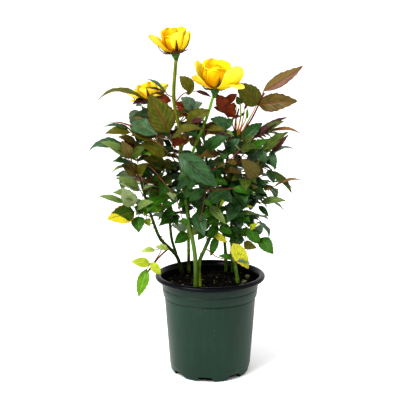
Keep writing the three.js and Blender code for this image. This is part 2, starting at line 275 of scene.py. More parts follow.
# %% The pot's profile
RIM_RADIUS = 65
POT_HEIGHT = 118.5
FOOT_RADIUS = 45.3
THROAT_RADIUS = 57.8
RIM_DEPTH = 5.8
WALL = 1.5
HIDDEN_FLOOR = 7.0
NOTCHES = 8
FIRST_NOTCH = math.radians(-97)
NOTCH_TOP, NOTCH_FOOT = 6.6, 10.6
NOTCH_HEIGHT = 5.6
NOTCH_REACH = 38.8
AXIS_GAP = 0.05  # the middle of the floor stays open by this radius until its end face closes it
OUTER_EASE, INNER_EASE = 0.6, 1.0


def eased(profile, radius, steps=3):
    """The profile with each corner replaced by a short curve that leaves and meets its two edges."""
    points = np.array(profile, float)
    before, corner, after = points[:-2], points[1:-1], points[2:]
    back = before - corner
    on = after - corner
    back_length = np.linalg.norm(back, axis=1, keepdims=True)
    on_length = np.linalg.norm(on, axis=1, keepdims=True)
    start = corner + back * np.minimum(radius / back_length, 0.45)
    end = corner + on * np.minimum(radius / on_length, 0.45)
    share = np.linspace(0, 1, steps)[None, :, None]
    curve = (1 - share) ** 2 * start[:, None] + 2 * share * (1 - share) * corner[:, None]
    curve = (curve + share**2 * end[:, None]).reshape(-1, 2)
    return np.concatenate([points[:1], curve, points[-1:]])


roll_turn = np.radians(np.linspace(-90, 150, 13))
roll_half = (RIM_RADIUS - THROAT_RADIUS) / 2
roll = np.stack(
    [
        RIM_RADIUS - roll_half + roll_half * np.cos(roll_turn),
        POT_HEIGHT - RIM_DEPTH / 2 + RIM_DEPTH / 2 * np.sin(roll_turn),
    ],
    -1,
)
outside = [
    (AXIS_GAP, 0),
    (NOTCH_REACH, 0),
    (NOTCH_REACH + 0.2, 0),
    (FOOT_RADIUS, 0),
    (FOOT_RADIUS + 1.8, 2.4),
    (FOOT_RADIUS + 2.5, 8.5),
    (48.2, 9.5),
    (54.0, 90.8),
    (53.4, 91.5),
    (53.5, 92.3),
    (55.5, 93.0),
    (56.7, 102.4),
    (56.1, 103.2),
    (56.2, 104.2),
    (57.1, 105.2),
    (THROAT_RADIUS, POT_HEIGHT - RIM_DEPTH),
]
inside = [
    (THROAT_RADIUS - WALL, POT_HEIGHT - RIM_DEPTH),
    (55.2, 102.8),
    (52.6, 92),
    (46.4, HIDDEN_FLOOR + 3),
    (44, HIDDEN_FLOOR),
    (AXIS_GAP, HIDDEN_FLOOR),
]
outer_part, inner_part = eased(outside, OUTER_EASE), eased(inside, INNER_EASE)
pot_profile = np.concatenate([outer_part, roll[1:], inner_part])
print("pot profile:", len(pot_profile), "points")

# %% The pot's surface
POT_COLUMNS = 320
UNEVENNESS = 0.1


def pot_surface():
    """Rows along the profile by columns round the axis: the profile's radius and height at each angle.

    Near a notch the foot outside NOTCH_REACH rises to the notch's roof, by a share that goes from 0 to
    1 between the notch's half widths at the ground and at its top. Three faint waves round the wall, a
    tenth of a millimetre high, keep it from looking machined.
    """
    turn = np.arange(POT_COLUMNS) * 2 * np.pi / POT_COLUMNS
    apart = np.abs((turn - FIRST_NOTCH + np.pi / NOTCHES) % (2 * np.pi / NOTCHES) - np.pi / NOTCHES)
    share = np.clip((NOTCH_FOOT - apart * FOOT_RADIUS) / (NOTCH_FOOT - NOTCH_TOP), 0, 1)
    radius, height = pot_profile[:, 0][:, None], pot_profile[:, 1][:, None]
    in_foot = (radius > NOTCH_REACH) & (height < NOTCH_HEIGHT)
    roof = NOTCH_HEIGHT * share[None]
    height = np.where(in_foot, np.maximum(height, roof), height)
    waver = UNEVENNESS * np.sin(3 * turn + 0.02 * height) * np.clip(radius / FOOT_RADIUS, 0, 1)
    radius = radius + waver
    return np.stack(np.broadcast_arrays(radius * np.cos(turn), radius * np.sin(turn), height), -1)


# %% The pot's plastic
# Painted shade under the rim: the heights, in m, over which the collar darkens, and the deep green it
# darkens toward.
COLLAR_SHADE_HEIGHTS = (0.09, 0.112)  # m above the ground
COLLAR_SHADE_COLOUR, DUST_COLOUR = screen(4, 26, 20), screen(112, 124, 114)


def pot_plastic(name, low, high, streak, gloss, shine, collar=0.0):
    """Satin plastic whose colour wavers from low to high, with fine streaks up it and specks of dust.

    It darkens by the share `collar`, from the lower to the higher of the collar's two heights: painted
    shade under the rim.
    """
    tree = Tree(name, Roughness=gloss, Specular_IOR_Level=shine)
    where = tree.place()
    streaks = tree.noise(tree.drawn_out(where, (1, 1, 0.12)), 260)
    clouds = tree.noise(where, 18)
    plain = tree.mix(tree.ramp(clouds, 0.35, 0.7), low, high)
    plain = tree.mix(tree.ramp(streaks, 0.45, 0.75, (0, 0.16)), plain, streak)
    # Painted shade: the collar darkens toward a deep green below the rim.
    plain = tree.mix(tree.ramp(tree.height(where), *COLLAR_SHADE_HEIGHTS, (0, collar)), plain, COLLAR_SHADE_COLOUR)
    dust = tree.ramp(tree.noise(where, 900, 1), 0.745, 0.765, (0, 0.4))
    tree.put(tree.surface.inputs["Roughness"], tree.ramp(clouds, 0.3, 0.7, (gloss - 0.05, gloss + 0.06)))
    tree.bump(streaks, 0.05, 0.0004)
    return tree.colour(tree.mix(dust, plain, DUST_COLOUR))


pot_finishes = [
    # The wall's green carries the painted shade under the rim at a share of 0.6.
    pot_plastic("pot_green", screen(14, 44, 30), screen(20, 52, 38), screen(40, 74, 56), 0.38, 0.4, 0.6),
    pot_plastic("pot_rim", screen(4, 6, 10), screen(7, 10, 16), screen(18, 24, 34), 0.26, 0.16),
    # Painted shade: the green pot's inside, underside and notch walls are painted near black.
    pot_plastic("pot_inside_shade", screen(2, 3, 4), screen(4, 5, 6), screen(8, 10, 11), 0.7, 0.08),
]
WALL_GREEN, RIM_BLACK, INSIDE_SHADE_BLACK = 0, 1, 2
# Rows of the underside and of the notches' back walls, painted near black as painted shade, like the
# inside.
SHADED_UNDER_ROWS = 7
rim_rows = (len(outer_part) - 1, len(pot_profile) - len(inner_part))
row_finish = np.full(len(pot_profile) - 1, INSIDE_SHADE_BLACK)
row_finish[SHADED_UNDER_ROWS : rim_rows[0]] = WALL_GREEN
row_finish[rim_rows[0] : rim_rows[1]] = RIM_BLACK
pot_shells = Shells()
pot_rings = pot_surface()[None]
pot_faces = ring_faces(*pot_rings.shape[:3])
pot_shells.add(pot_rings, pot_faces, (row_finish[None, :, None], WALL_GREEN, INSIDE_SHADE_BLACK))
new_piece("pot_shell", pot_shells, pot_finishes, replaces=["pot"], smooth=40)

# %% [markdown]
# ## The potting mix
#
# Potting mix is black peat with crumbs of bark and a little pale grit. A single bumpy disc would look
# like asphalt, so the bed is an uneven surface, and several hundred crumbs and chips, each a small
# closed lump of its own size and turn, lie half sunk in it. All lumps are one array.

# %% The bed
SOIL_HEIGHT = 109
BED_RADIUS = 53.6
BED_AROUND, BED_RINGS = 160, 60
WAVES, WAVE_HEIGHT = 26, 0.34
MOUND_HEIGHT, MOUND_SINKS = 1.2, 0.6
lay = np.random.default_rng(11)
wave_ways = lay.normal(0, 1, (WAVES, 2)) * lay.choice([0.09, 0.25, 0.6], (WAVES, 1))
wave_starts = lay.uniform(0, 2 * np.pi, WAVES)


def bed_height(x, y):
    """Height of the mix: the sum of waves of random ways and lengths, and a low mound in the middle."""
    phase = x[..., None] * wave_ways[:, 0] + y[..., None] * wave_ways[:, 1] + wave_starts
    mound = MOUND_HEIGHT * np.cos(np.clip(np.hypot(x, y) / BED_RADIUS, 0, 1) * np.pi)
    return SOIL_HEIGHT - MOUND_SINKS + mound + WAVE_HEIGHT * np.sin(phase).sum(-1)


def turned(profile, around):
    """Rings of a turned shape: each (radius, height) of the profile, carried round the axis."""
    turn = np.arange(around) * 2 * np.pi / around
    radius, height = np.array(profile, float)[:, :, None].transpose(1, 0, 2)
    return np.stack(np.broadcast_arrays(radius * np.cos(turn), radius * np.sin(turn), height), -1)


bed_top = turned([(share * BED_RADIUS, 0) for share in np.linspace(1, 0.05, BED_RINGS)], BED_AROUND)
bed_top[..., 2] = bed_height(bed_top[..., 0], bed_top[..., 1])
bed_side = turned([(0.3, 12), (40, 12), (50, 85)], BED_AROUND)
bed_shells = Shells()
bed_shells.add_rings(np.concatenate([bed_side, bed_top]))


def potting_mix():
    """Almost black, with brown fibres and rough everywhere."""
    tree = Tree("potting_mix", Roughness=0.95, Specular_IOR_Level=0.15)
    grain = tree.noise(tree.place(), 900, 6, 0.7)
    brown = tree.mix(tree.ramp(grain, 0.56, 0.72), screen(7, 6, 5), screen(46, 36, 24))
    tree.bump(grain, 0.9, 0.0015)
    return tree.colour(brown)


new_piece("soil_bed", bed_shells, [potting_mix()], replaces=["soil"])

# %% Crumbs, chips and grit
CRUMBS, CHIPS, GRIT = 620, 80, 26
HUSKS = [(45, 14), (41, -4), (38, -14), (34, 8), (-32, -14)]
HUSK_SIZES = [(4.0, 2.4, 3.0), (4.4, 2.6, 2.4), (2.4, 1.6, 1.2), (2.2, 1.4, 1.0), (1.8, 1.1, 0.5)]


def lumps(count, sizes, sunk, at=None):
    """Closed lumps, half sunk in the bed, anywhere on it unless `at` gives their places.

    Each is a ball of four rings of six points, with every point pulled in or out at random; the ball is
    stretched to the lump's own three sizes, turned round, tipped a little and laid on the bed.
    """
    polar = np.radians([18, 62, 118, 162])[:, None]
    turn = (np.arange(6) * np.pi / 3)[None]
    level = np.sin(polar)
    ball = np.stack(np.broadcast_arrays(level * np.cos(turn), level * np.sin(turn), -np.cos(polar)), -1)
    rough = ball[None] * lay.uniform(0.7, 1.15, (count, 4, 6, 1)) * sizes[:, None, None, :]
    heading, tip = lay.uniform(0, 2 * np.pi, count), lay.normal(0, 0.3, count)
    c, s = np.cos(heading)[:, None, None], np.sin(heading)[:, None, None]
    x = rough[..., 0] * c - rough[..., 1] * s
    y = rough[..., 0] * s + rough[..., 1] * c
    z = rough[..., 2] + x * np.tan(tip)[:, None, None]
    radius = BED_RADIUS * np.sqrt(lay.uniform(0, 0.93, count))
    around = lay.uniform(0, 2 * np.pi, count)
    anywhere = (radius * np.cos(around), radius * np.sin(around))
    at_x, at_y = anywhere if at is None else np.array(at, float).T
    at_z = bed_height(at_x, at_y) + sizes[:, 2] * sunk
    return np.stack([x, y, z], -1) + np.stack([at_x, at_y, at_z], -1)[:, None, None]


def crumb_finish(name, low, high):
    """A rough brown or pale crumb whose colour wavers between two."""
    tree = Tree(name, Roughness=0.9, Specular_IOR_Level=0.2)
    grain = tree.noise(tree.place(), 700, 4)
    tree.bump(grain, 0.5, 0.001)
    return tree.colour(tree.mix(tree.ramp(grain, 0.4, 0.62), low, high))


crumb_sizes = lay.uniform(0.5, 1.5, (CRUMBS, 1)) * lay.uniform(0.6, 1.2, (CRUMBS, 3))
chip_sizes = lay.uniform(0.9, 1.5, (CHIPS, 1)) * np.array([[2.4, 0.9, 0.4]])
grit_sizes = lay.uniform(0.5, 1.0, (GRIT, 1)) * np.array([[1.1, 1.0, 0.8]])
crumbs = Shells()
crumbs.add_rings(lumps(CRUMBS, crumb_sizes, 0.2), lay.choice([0, 0, 0, 1], CRUMBS))
crumbs.add_rings(lumps(CHIPS, chip_sizes, 0.6), lay.choice([1, 2], CHIPS))
crumbs.add_rings(lumps(GRIT, grit_sizes, 0.4), 3)
crumbs.add_rings(lumps(len(HUSKS), np.array(HUSK_SIZES), 1.0, HUSKS), 4)
crumb_finishes = [
    crumb_finish("peat_crumb", screen(8, 7, 6), screen(22, 17, 13)),
    crumb_finish("bark_crumb", screen(28, 21, 13), screen(66, 50, 32)),
    crumb_finish("bark_chip", screen(70, 62, 34), screen(118, 104, 66)),
    crumb_finish("pale_grit", screen(120, 116, 100), screen(160, 156, 138)),
    crumb_finish("pale_husk", screen(104, 106, 72), screen(142, 144, 112)),
]
new_piece("soil_crumbs", crumbs, crumb_finishes)

# %% [markdown]
# ## Canes
#
# A rose cane is a round green stem that thins toward its tip, with a faint ring and a bud wherever a
# leaf once stood. A curve with a bevel would give a plain pipe. Here rings of points are carried along
# the same smooth curve that the frame's canes follow, and the radius swells at the rings and wavers
# along fine bark lines.

# %% A smooth curve through a few points
def smooth_route(points, step):
    """Points about every `step` mm along a centripetal Catmull-Rom curve.

    Between two points the curve is the cubic with their places and with slopes that weigh the
    neighbours by the square root of their distances; past the ends the first and last steps are
    repeated.
    """
    p = np.array(points, float)
    p = np.concatenate([[2 * p[0] - p[1]], p, [2 * p[-1] - p[-2]]])
    gap = np.sqrt(np.linalg.norm(np.diff(p, axis=0), axis=1))[:, None]
    g0, g1, g2 = gap[:-2], gap[1:-1], gap[2:]
    a, b, c, d = p[:-3], p[1:-2], p[2:-1], p[3:]
    slope_in = ((b - a) / g0 - (c - a) / (g0 + g1) + (c - b) / g1) * g1
    slope_out = ((c - b) / g1 - (d - b) / (g1 + g2) + (d - c) / g2) * g1
    t = np.linspace(0, 1, 24, endpoint=False)[:, None, None]
    cubic = (2 * t**3 - 3 * t**2 + 1) * b + (t**3 - 2 * t**2 + t) * slope_in
    cubic = cubic + (3 * t**2 - 2 * t**3) * c + (t**3 - t**2) * slope_out
    fine = np.concatenate([cubic.transpose(1, 0, 2).reshape(-1, 3), p[-2:-1]])
    along = np.concatenate([[0], np.cumsum(np.linalg.norm(np.diff(fine, axis=0), axis=1))])
    places = np.linspace(0, along[-1], max(3, int(along[-1] / step) + 1))
    return np.stack([np.interp(places, along, fine[:, k]) for k in range(3)], -1)


def tube(route, radius, sides):
    """Rings round a route (stations, 3): radius is (stations, 1) or (stations, sides), in mm.

    Each ring lies across the route; its first point is turned from the axis that the route leans to
    least.
    """
    heading = np.gradient(route, axis=0)
    heading /= np.linalg.norm(heading, axis=1, keepdims=True)
    least = np.eye(3)[np.argmin(np.abs(route[-1] - route[0]))]
    side = np.cross(heading, least)
    side /= np.linalg.norm(side, axis=1, keepdims=True)
    other = np.cross(heading, side)
    turn = (np.arange(sides) * 2 * np.pi / sides)[None, :, None]
    ring = side[:, None] * np.cos(turn) + other[:, None] * np.sin(turn)
    return route[:, None] + ring * np.broadcast_to(radius, (len(route), sides))[..., None]


# %% The canes' routes, from the soil or the bearing cane to the tip, and their first and last radius
CANES = {
    "cane_left": (
        [(-34, 34, 109), (-40, 28, 131), (-49, 20, 144), (-59, 12, 157), (-68, 2, 184), (-81, -8, 233),
         (-86, -10, 249)],
        (2.2, 1.2),
    ),
    "cane_middle": (
        [(-26, 38, 109), (-26, 30, 146), (-26, 18, 185), (-26, 0, 239), (-21, -6, 260), (-4, -16, 303),
         (5, -20, 333)],
        (1.9, 1.4),
    ),
    "cane_front": (
        [(-16.4, -25, 109), (-17.4, -24, 146), (-25, -16, 188), (-32, -8, 239), (-35, -5, 289),
         (-41, -5, 323), (-38, -5, 372)],
        (2.5, 1.85),
    ),
    "cane_front_fork": (
        [(-12.4, -22.5, 109), (-12.2, -20, 137), (-6, -16, 152), (6, -10, 180), (14, -4, 219),
         (22, 3, 268)],
        (2.4, 1.1),
    ),
    "cane_right": ([(33, -10, 109), (29, -6, 133), (25, -2, 159), (27, 2, 206), (32, 8, 278)], (2.1, 1.3)),
    "cane_right_back": (
        [(20, 41, 109), (18, 33, 147), (12, 28, 183), (-4, 24, 250), (-8, 22, 284)],
        (2.0, 1.1),
    ),
    "cane_right_outer": (
        [(28, 40, 109), (27, 30, 150), (36, 18, 186), (52, 4, 241), (58, 0, 258)],
        (2.0, 1.1),
    ),
    "cane_left_fork": (
        [(-41, 31, 134), (-46, 28, 152), (-50, 24, 190), (-61, 20, 240), (-61, 19, 286), (-67, 18, 314)],
        (1.7, 1.2),
    ),
    "shoot_crest": ([(33.2, 8, 279.2), (46, 7, 297), (62, 4, 330)], (1.0, 0.8)),
    "shoot_middle": ([(30.7, 8, 278.9), (29, 8, 293), (33, 6, 312)], (1.0, 0.8)),
    "shoot_front": ([(-32.6, -11.1, 239), (-28, -30, 246), (-24, -48, 252)], (1.0, 0.8)),
    "shoot_back_low": ([(12, 30.6, 184), (8, 44, 190), (2, 60, 198)], (1.0, 0.8)),
    "shoot_back_right": ([(36.5, 20.6, 188), (44, 36, 214), (50, 50, 246)], (1.1, 0.8)),
    "stalk_yellow_left": ([(-49.8, 17, 143.9), (-60, -6, 139), (-73, -37, 127)], (1.1, 0.8)),
    "stalk_yellow_right": ([(26.3, -4.4, 157.5), (29, -16, 158), (38, -34, 149)], (1.1, 0.8)),
}
ROUTE_STEP = 1.2
routes = {name: smooth_route(points, ROUTE_STEP) for name, (points, _) in CANES.items()}
widths = {name: np.linspace(*radii, len(routes[name])) for name, (_, radii) in CANES.items()}
print("canes, mm long:", {name: round(ROUTE_STEP * len(route)) for name, route in routes.items()})

# %% The canes' surfaces
CANE_SIDES = 20
RING_EVERY, RING_HEIGHT, RING_REACH = 27.0, 0.3, 1.3
FLARE, FLARE_HEIGHT = 0.5, 6.0
BARK_LINES = [(0.02, 5, 17), (0.012, 9, -9)]
FROM_SOIL = [name for name, (points, _) in CANES.items() if points[0][2] == SOIL_HEIGHT]


def cane_surface(name):
    """Rings of the cane's radius, wider round each bud ring, flared at the soil and lined by bark.

    Each bark line is a wave (height, count, slope) that winds slowly round the cane.
    """
    route, width = routes[name], widths[name]
    along = np.arange(len(route)) * ROUTE_STEP
    from_ring = (along + len(name)) % RING_EVERY - RING_EVERY / 2
    swell = RING_HEIGHT * np.exp(-((from_ring / RING_REACH) ** 2)) * width / 2
    flare = FLARE * np.exp(-along / FLARE_HEIGHT) * (name in FROM_SOIL)
    turn = np.arange(CANE_SIDES) * 2 * np.pi / CANE_SIDES
    bark = sum(share * np.sin(count * turn + along[:, None] / slope) for share, count, slope in BARK_LINES)
    return tube(route, (width + swell + flare)[:, None] * (1 + bark), CANE_SIDES)


# %% Bark
def cane_bark(name, green, deep, blush, heights):
    """Green skin with darker streaks and a fine bump that follows them.

    It is all `blush` up to the first of two heights, in m, and free of it above the second; clouds fray
    the change between them.
    """
    tree = Tree(f"{name}_bark", Roughness=0.45, Specular_IOR_Level=0.25)
    where = tree.place()
    streak = tree.noise(tree.drawn_out(where, (1, 1, 0.15)), 700)
    patch = tree.noise(where, 55, 2)
    skin = tree.mix(tree.ramp(streak, 0.4, 0.62), screen(*green), screen(*deep))
    fray = tree.math("MULTIPLY", tree.math("SUBTRACT", patch, 0.5), 0.09)
    reach = tree.math("ADD", tree.height(where), fray)
    tree.bump(streak, 0.35, 0.0004)
    return tree.colour(tree.mix(tree.ramp(reach, *heights, (1, 0)), skin, screen(*blush)))


BARKS = {
    "bright": ((120, 160, 46), (86, 130, 30), (66, 52, 20), (0.1, 0.122)),
    "green": ((96, 122, 34), (64, 94, 20), (66, 52, 20), (0.1, 0.122)),
    "tall": ((118, 122, 24), (84, 94, 14), (82, 106, 40), (0.2, 0.3)),
    "forked": ((66, 98, 26), (40, 68, 16), (120, 134, 32), (0.12, 0.145)),
    "dark": ((66, 94, 24), (34, 56, 14), (50, 40, 18), (0.1, 0.125)),
    "pink": ((168, 112, 86), (128, 76, 56), (104, 112, 44), (0.0, 0.01)),
    "red": ((132, 66, 40), (88, 34, 24), (104, 112, 44), (0.12, 0.2)),
}
BARK_OF = {"cane_middle": "bright", "cane_front": "tall", "cane_front_fork": "forked", "cane_left": "dark"}
BARK_OF.update(cane_left_fork="dark", stalk_yellow_left="pink")
barks = {name: cane_bark(name, *row) for name, row in BARKS.items()}
for name in CANES:
    shells = Shells()
    shells.add_rings(cane_surface(name))
    usual, slot = ("green", "cane") if name.startswith("cane") else ("red", "shoot")
    new_piece(f"{name}_bark", shells, [barks[BARK_OF.get(name, usual)]], replaces=[name])

# %% [markdown]
# ## Prickles
#
# A rose's prickles are outgrowths of its skin: flat at the foot, curved down and sharp. Each is a
# closed shell of four rings, wider along the cane than across it, and its point is drawn downward.

# %% Prickles on the canes
PRICKLE_SIDES = 6
PRICKLE_HALF_WIDTH, PRICKLE_HALF_HEIGHT = 0.55, 1.3
PRICKLE_OUT = np.array([-0.3, 0.25, 0.65, 1.0])
PRICKLE_DROP = np.array([0, 0.05, 0.3, 0.75])
PRICKLE_THICK = np.array([1.0, 0.62, 0.3, 0.06])
PRICKLES = {"cane_left": 9, "cane_front": 12, "cane_front_fork": 8, "cane_middle": 9, "cane_right": 8}
PRICKLES.update(cane_right_back=7, cane_right_outer=7, cane_left_fork=9)
thorn = np.random.default_rng(17)


def prickle_rings(route, width, count):
    """Rings (prickles, 4, sides, 3): flat ovals whose middles go outward and sink back along the cane.

    The ovals shrink by PRICKLE_THICK, stand out by the length times PRICKLE_OUT and sink by
    PRICKLE_DROP mm.
    """
    at = (thorn.uniform(0.08, 0.82, count) * len(route)).astype(int)
    foot, radius = route[at], width[at]
    ahead = route[at + 1] - foot
    ahead /= np.linalg.norm(ahead, axis=1, keepdims=True)
    turn = thorn.uniform(0, 2 * np.pi, count)
    level = np.stack([np.cos(turn), np.sin(turn), np.zeros(count)], -1)
    out = level - (level * ahead).sum(1, keepdims=True) * ahead
    out /= np.linalg.norm(out, axis=1, keepdims=True)
    side = np.cross(ahead, out)
    reach = PRICKLE_OUT[:, None] * thorn.uniform(1.8, 3.2, count)[:, None, None]
    centre = foot[:, None] + out[:, None] * (radius[:, None, None] + reach)
    centre = centre - ahead[:, None] * PRICKLE_DROP[:, None]
    around = (np.arange(PRICKLE_SIDES) * 2 * np.pi / PRICKLE_SIDES)[:, None]
    ring = side[:, None, None] * np.cos(around) * PRICKLE_HALF_WIDTH
    ring = ring + ahead[:, None, None] * np.sin(around) * PRICKLE_HALF_HEIGHT
    return centre[:, :, None] - ring * PRICKLE_THICK[:, None, None]


prickle_shells = Shells()
for name, count in PRICKLES.items():
    prickle_shells.add_rings(prickle_rings(routes[name], widths[name], count))
prickle_skin = Tree("prickle_skin", Roughness=0.4, Base_Color=screen(112, 62, 34)).material
new_piece("prickles", prickle_shells, [prickle_skin])

# %% [markdown]
# ## Leaflets
#
# A rose leaf is compound: three, five or seven leaflets on one stalk. A leaflet is an oval with a short
# point and a toothed edge, folded a little along its midrib and arched down toward its tip. A flat
# picture on a card would look thin from the side, so each leaflet is a closed shell of 58 faces: its
# cross-section is a flat rhombus with a corner at each edge, one on the midrib and one below it, and it
# is carried along the midrib. All leaflets of a clump are worked out at once, as one array.

# %% A leaflet's surface
STATIONS = 15
CROSS_SIDE = np.array([1, 0, -1, 0])
CROSS_RISE = np.array([0, 0.12, 0, -0.3])
TOOTH, TOOTH_AHEAD = 0.055, 0.35
EDGE_WAVE, EDGE_WAVES = 0.08, 15
STALK_END_HALF, TIP_HALF = 0.4, 0.12
BULGE, TAPER = 0.72, 1.06
station = np.linspace(0, 1, STATIONS)
outline = station**BULGE * (1 - station) ** TAPER
outline /= (BULGE / (BULGE + TAPER)) ** BULGE * (TAPER / (BULGE + TAPER)) ** TAPER
toothed = np.where(np.arange(STATIONS) % 2 == 1, 1 + TOOTH, 1 - TOOTH / 2)


def leaflet_rings(base, tip, up, width, arch, fold, twist, phase):
    """Rings (leaflets, stations, 4, 3) of leaflets from base to tip, in mm; fold and twist in radians.

    The midrib is the straight way from base to tip, raised along `up` by arch times the length times a
    curve that is highest past the middle. Half the width follows u^0.72 (1-u)^1.06; every second edge
    point stands out as a tooth. The two halves rise by the fold, the edge waves, and the section turns
    by the twist.
    """
    way = tip - base
    length = np.linalg.norm(way, axis=1, keepdims=True)
    way = way / length
    up = up - (up * way).sum(1, keepdims=True) * way
    up /= np.linalg.norm(up, axis=1, keepdims=True)
    u = station[None, :, None]
    lift = arch[:, None, None] * length[:, None] * 4 * u * (1 - u) * (0.6 + 0.8 * u)
    midrib = base[:, None] + (way * length)[:, None] * u + up[:, None] * lift
    heading = np.gradient(midrib, axis=1)
    heading /= np.linalg.norm(heading, axis=2, keepdims=True)
    side = np.broadcast_to(np.cross(up, way)[:, None], heading.shape)
    normal = np.cross(heading, side)
    turn = (twist[:, None] * (station - 0.3))[..., None]
    side, normal = side * np.cos(turn) + normal * np.sin(turn), normal * np.cos(turn) - side * np.sin(turn)
    half = np.maximum(outline * width[:, None] / 2, np.where(station > 0.5, TIP_HALF, STALK_END_HALF))
    edge = np.abs(CROSS_SIDE) == 1
    reach = half[..., None] * CROSS_SIDE * np.where(edge, toothed[:, None], 1.0)
    wave = np.sin(EDGE_WAVES * station[:, None] + phase[:, None, None] + 1.7 * (CROSS_SIDE > 0))
    rise = np.abs(reach) * np.sin(fold)[:, None, None] + CROSS_RISE
    rise = rise + EDGE_WAVE * half[..., None] * CROSS_SIDE**2 * wave
    reach = reach * np.cos(fold)[:, None, None]
    forward = TOOTH_AHEAD * edge * (np.arange(STATIONS) % 2)[:, None] / STATIONS * length[:, None]
    rings = midrib[:, :, None] + reach[..., None] * side[:, :, None] + rise[..., None] * normal[:, :, None]
    return rings + forward[..., None] * heading[:, :, None]


# %% [markdown]
# ## Leaf finishes
#
# The young leaves at the top are olive and bronze with red midribs and edges, the full-grown ones dark
# or blue green with paler veins, and a few low ones turn yellow. Undersides are paler. The pattern has
# to follow the leaf, so each corner of a face carries its place on the leaflet: across from edge to
# edge and along from stalk to tip. All leaflets of one finish share one square of the map, and the
# finish reads only that place.

# %% Where a finish's square lies
TILES = 5
MAP_MARGIN = 0.02


def in_square(finish, local):
    """Places on the map of places from 0 to 1 in the finish's own square, a little inside its edges."""
    square = np.stack([finish % TILES, finish // TILES], -1)
    return (square[..., None, :] + MAP_MARGIN + (1 - 2 * MAP_MARGIN) * local) / TILES


def band_places(cross, along, tops, unders, faces_on_top):
    """Places of all face corners of strips with this section, in each finish's square of the map.

    The corners of the under faces start one later, as their points do, so both faces are cut the same
    way.
    """
    around = len(cross)
    point = np.arange(around)
    after = (point + 1) % around
    side = (np.array(cross) + 1) / 2
    local = np.empty((len(along) - 1, around, 4, 2))
    for corner, (number, row) in enumerate(((point, 0), (after, 0), (after, 1), (point, 1))):
        local[..., corner, 0] = side[number]
        local[..., corner, 1] = along[row : len(along) - 1 + row, None]
    local[:, faces_on_top:] = np.roll(local[:, faces_on_top:], -1, axis=2)
    finish = np.where(point[None, None] < faces_on_top, tops[:, None, None], unders[:, None, None])
    finish = np.broadcast_to(finish, (len(tops), len(along) - 1, around))
    first, last = (in_square(tops, np.stack([side, np.full(around, end)], -1)) for end in (0, 1))
    quads = in_square(finish, local)
    return np.concatenate([part.reshape(-1, 2) for part in (quads, first[:, ::-1], last)]), finish


def strip_faces(shells, rings, around, faces_on_top):
    """Ring faces whose under quads start at their second point."""
    quads, first, last = ring_faces(shells, rings, around)
    quads[:, :, faces_on_top:] = np.roll(quads[:, :, faces_on_top:], -1, axis=3)
    return quads, first, last


def on_square(tree):
    """The place on the map, the place in the finish's square, and how far off its middle line it lies.

    Across goes from edge to edge and along from foot to tip, both from 0 to 1; off is 0 on the middle
    line and 1 at both edges.
    """
    flat = tree.node("ShaderNodeUVMap", uv_map="OFBake").outputs[0]
    part = tree.node("ShaderNodeSeparateXYZ", {0: flat}).outputs
    across, along = (tree.math("FRACT", tree.math("MULTIPLY", part[k], float(TILES))) for k in (0, 1))
    off = tree.math("MULTIPLY", tree.math("ABSOLUTE", tree.math("SUBTRACT", across, 0.5)), 2.0)
    return flat, across, along, off


# %% The finish of one side of a leaf
VEIN_PAIRS, VEIN_BEND = 8, 0.3
HALF_AT = 0.56


def leaf_skin(name, colours, gloss=0.42, vein_depth=0.55, spots=None, flecks=None, half=None, slant=0.0):
    """Skin that wavers between two colours, with curved side veins, a tinted edge and a midrib.

    The colours are skin, deep, midrib, margin and vein. `spots` mottles the skin between the veins,
    `flecks` are small dots, and `half` recolours one side of the midrib or of a line at a slant to it.
    """
    skin, deep, midrib, margin, vein = (screen(*colour) for colour in colours)
    tree = Tree(f"leaf_{name}", Roughness=gloss, Specular_IOR_Level=0.25)
    flat, across, along, off = on_square(tree)
    bend = tree.math("SUBTRACT", along, tree.math("MULTIPLY", off, VEIN_BEND))
    stripe = tree.math("FRACT", tree.math("MULTIPLY", bend, float(VEIN_PAIRS)))
    from_vein = tree.math("ABSOLUTE", tree.math("SUBTRACT", stripe, 0.5))
    vein_share = tree.ramp(from_vein, 0.0, 0.13, (1, 0))
    colour = tree.mix(tree.ramp(tree.noise(flat, 26, 3), 0.35, 0.68), skin, deep)
    if spots:
        mottle = tree.math("SUBTRACT", tree.noise(flat, 70, 2), tree.math("MULTIPLY", off, 0.12))
        colour = tree.mix(tree.ramp(mottle, 0.5, 0.62), colour, screen(*spots))
    colour = tree.mix(tree.math("MULTIPLY", vein_share, vein_depth), colour, vein)
    if half:
        leaning = tree.math("MULTIPLY", tree.math("SUBTRACT", along, HALF_AT), slant)
        colour = tree.mix(tree.ramp(tree.math("ADD", across, leaning), 0.48, 0.52), colour, screen(*half))
    if flecks:
        colour = tree.mix(tree.ramp(tree.noise(flat, 200, 1), 0.6, 0.66), colour, screen(*flecks))
    colour = tree.mix(tree.ramp(off, 0.82, 0.98, (0, 0.85)), colour, margin)
    colour = tree.mix(tree.ramp(off, 0.02, 0.07, (0.9, 0)), colour, midrib)
    pillow = tree.math("MULTIPLY", tree.math("SUBTRACT", 1.0, vein_share), tree.ramp(off, 0.0, 0.25))
    tree.bump(pillow, 0.55, 0.0008)
    return tree.colour(colour)


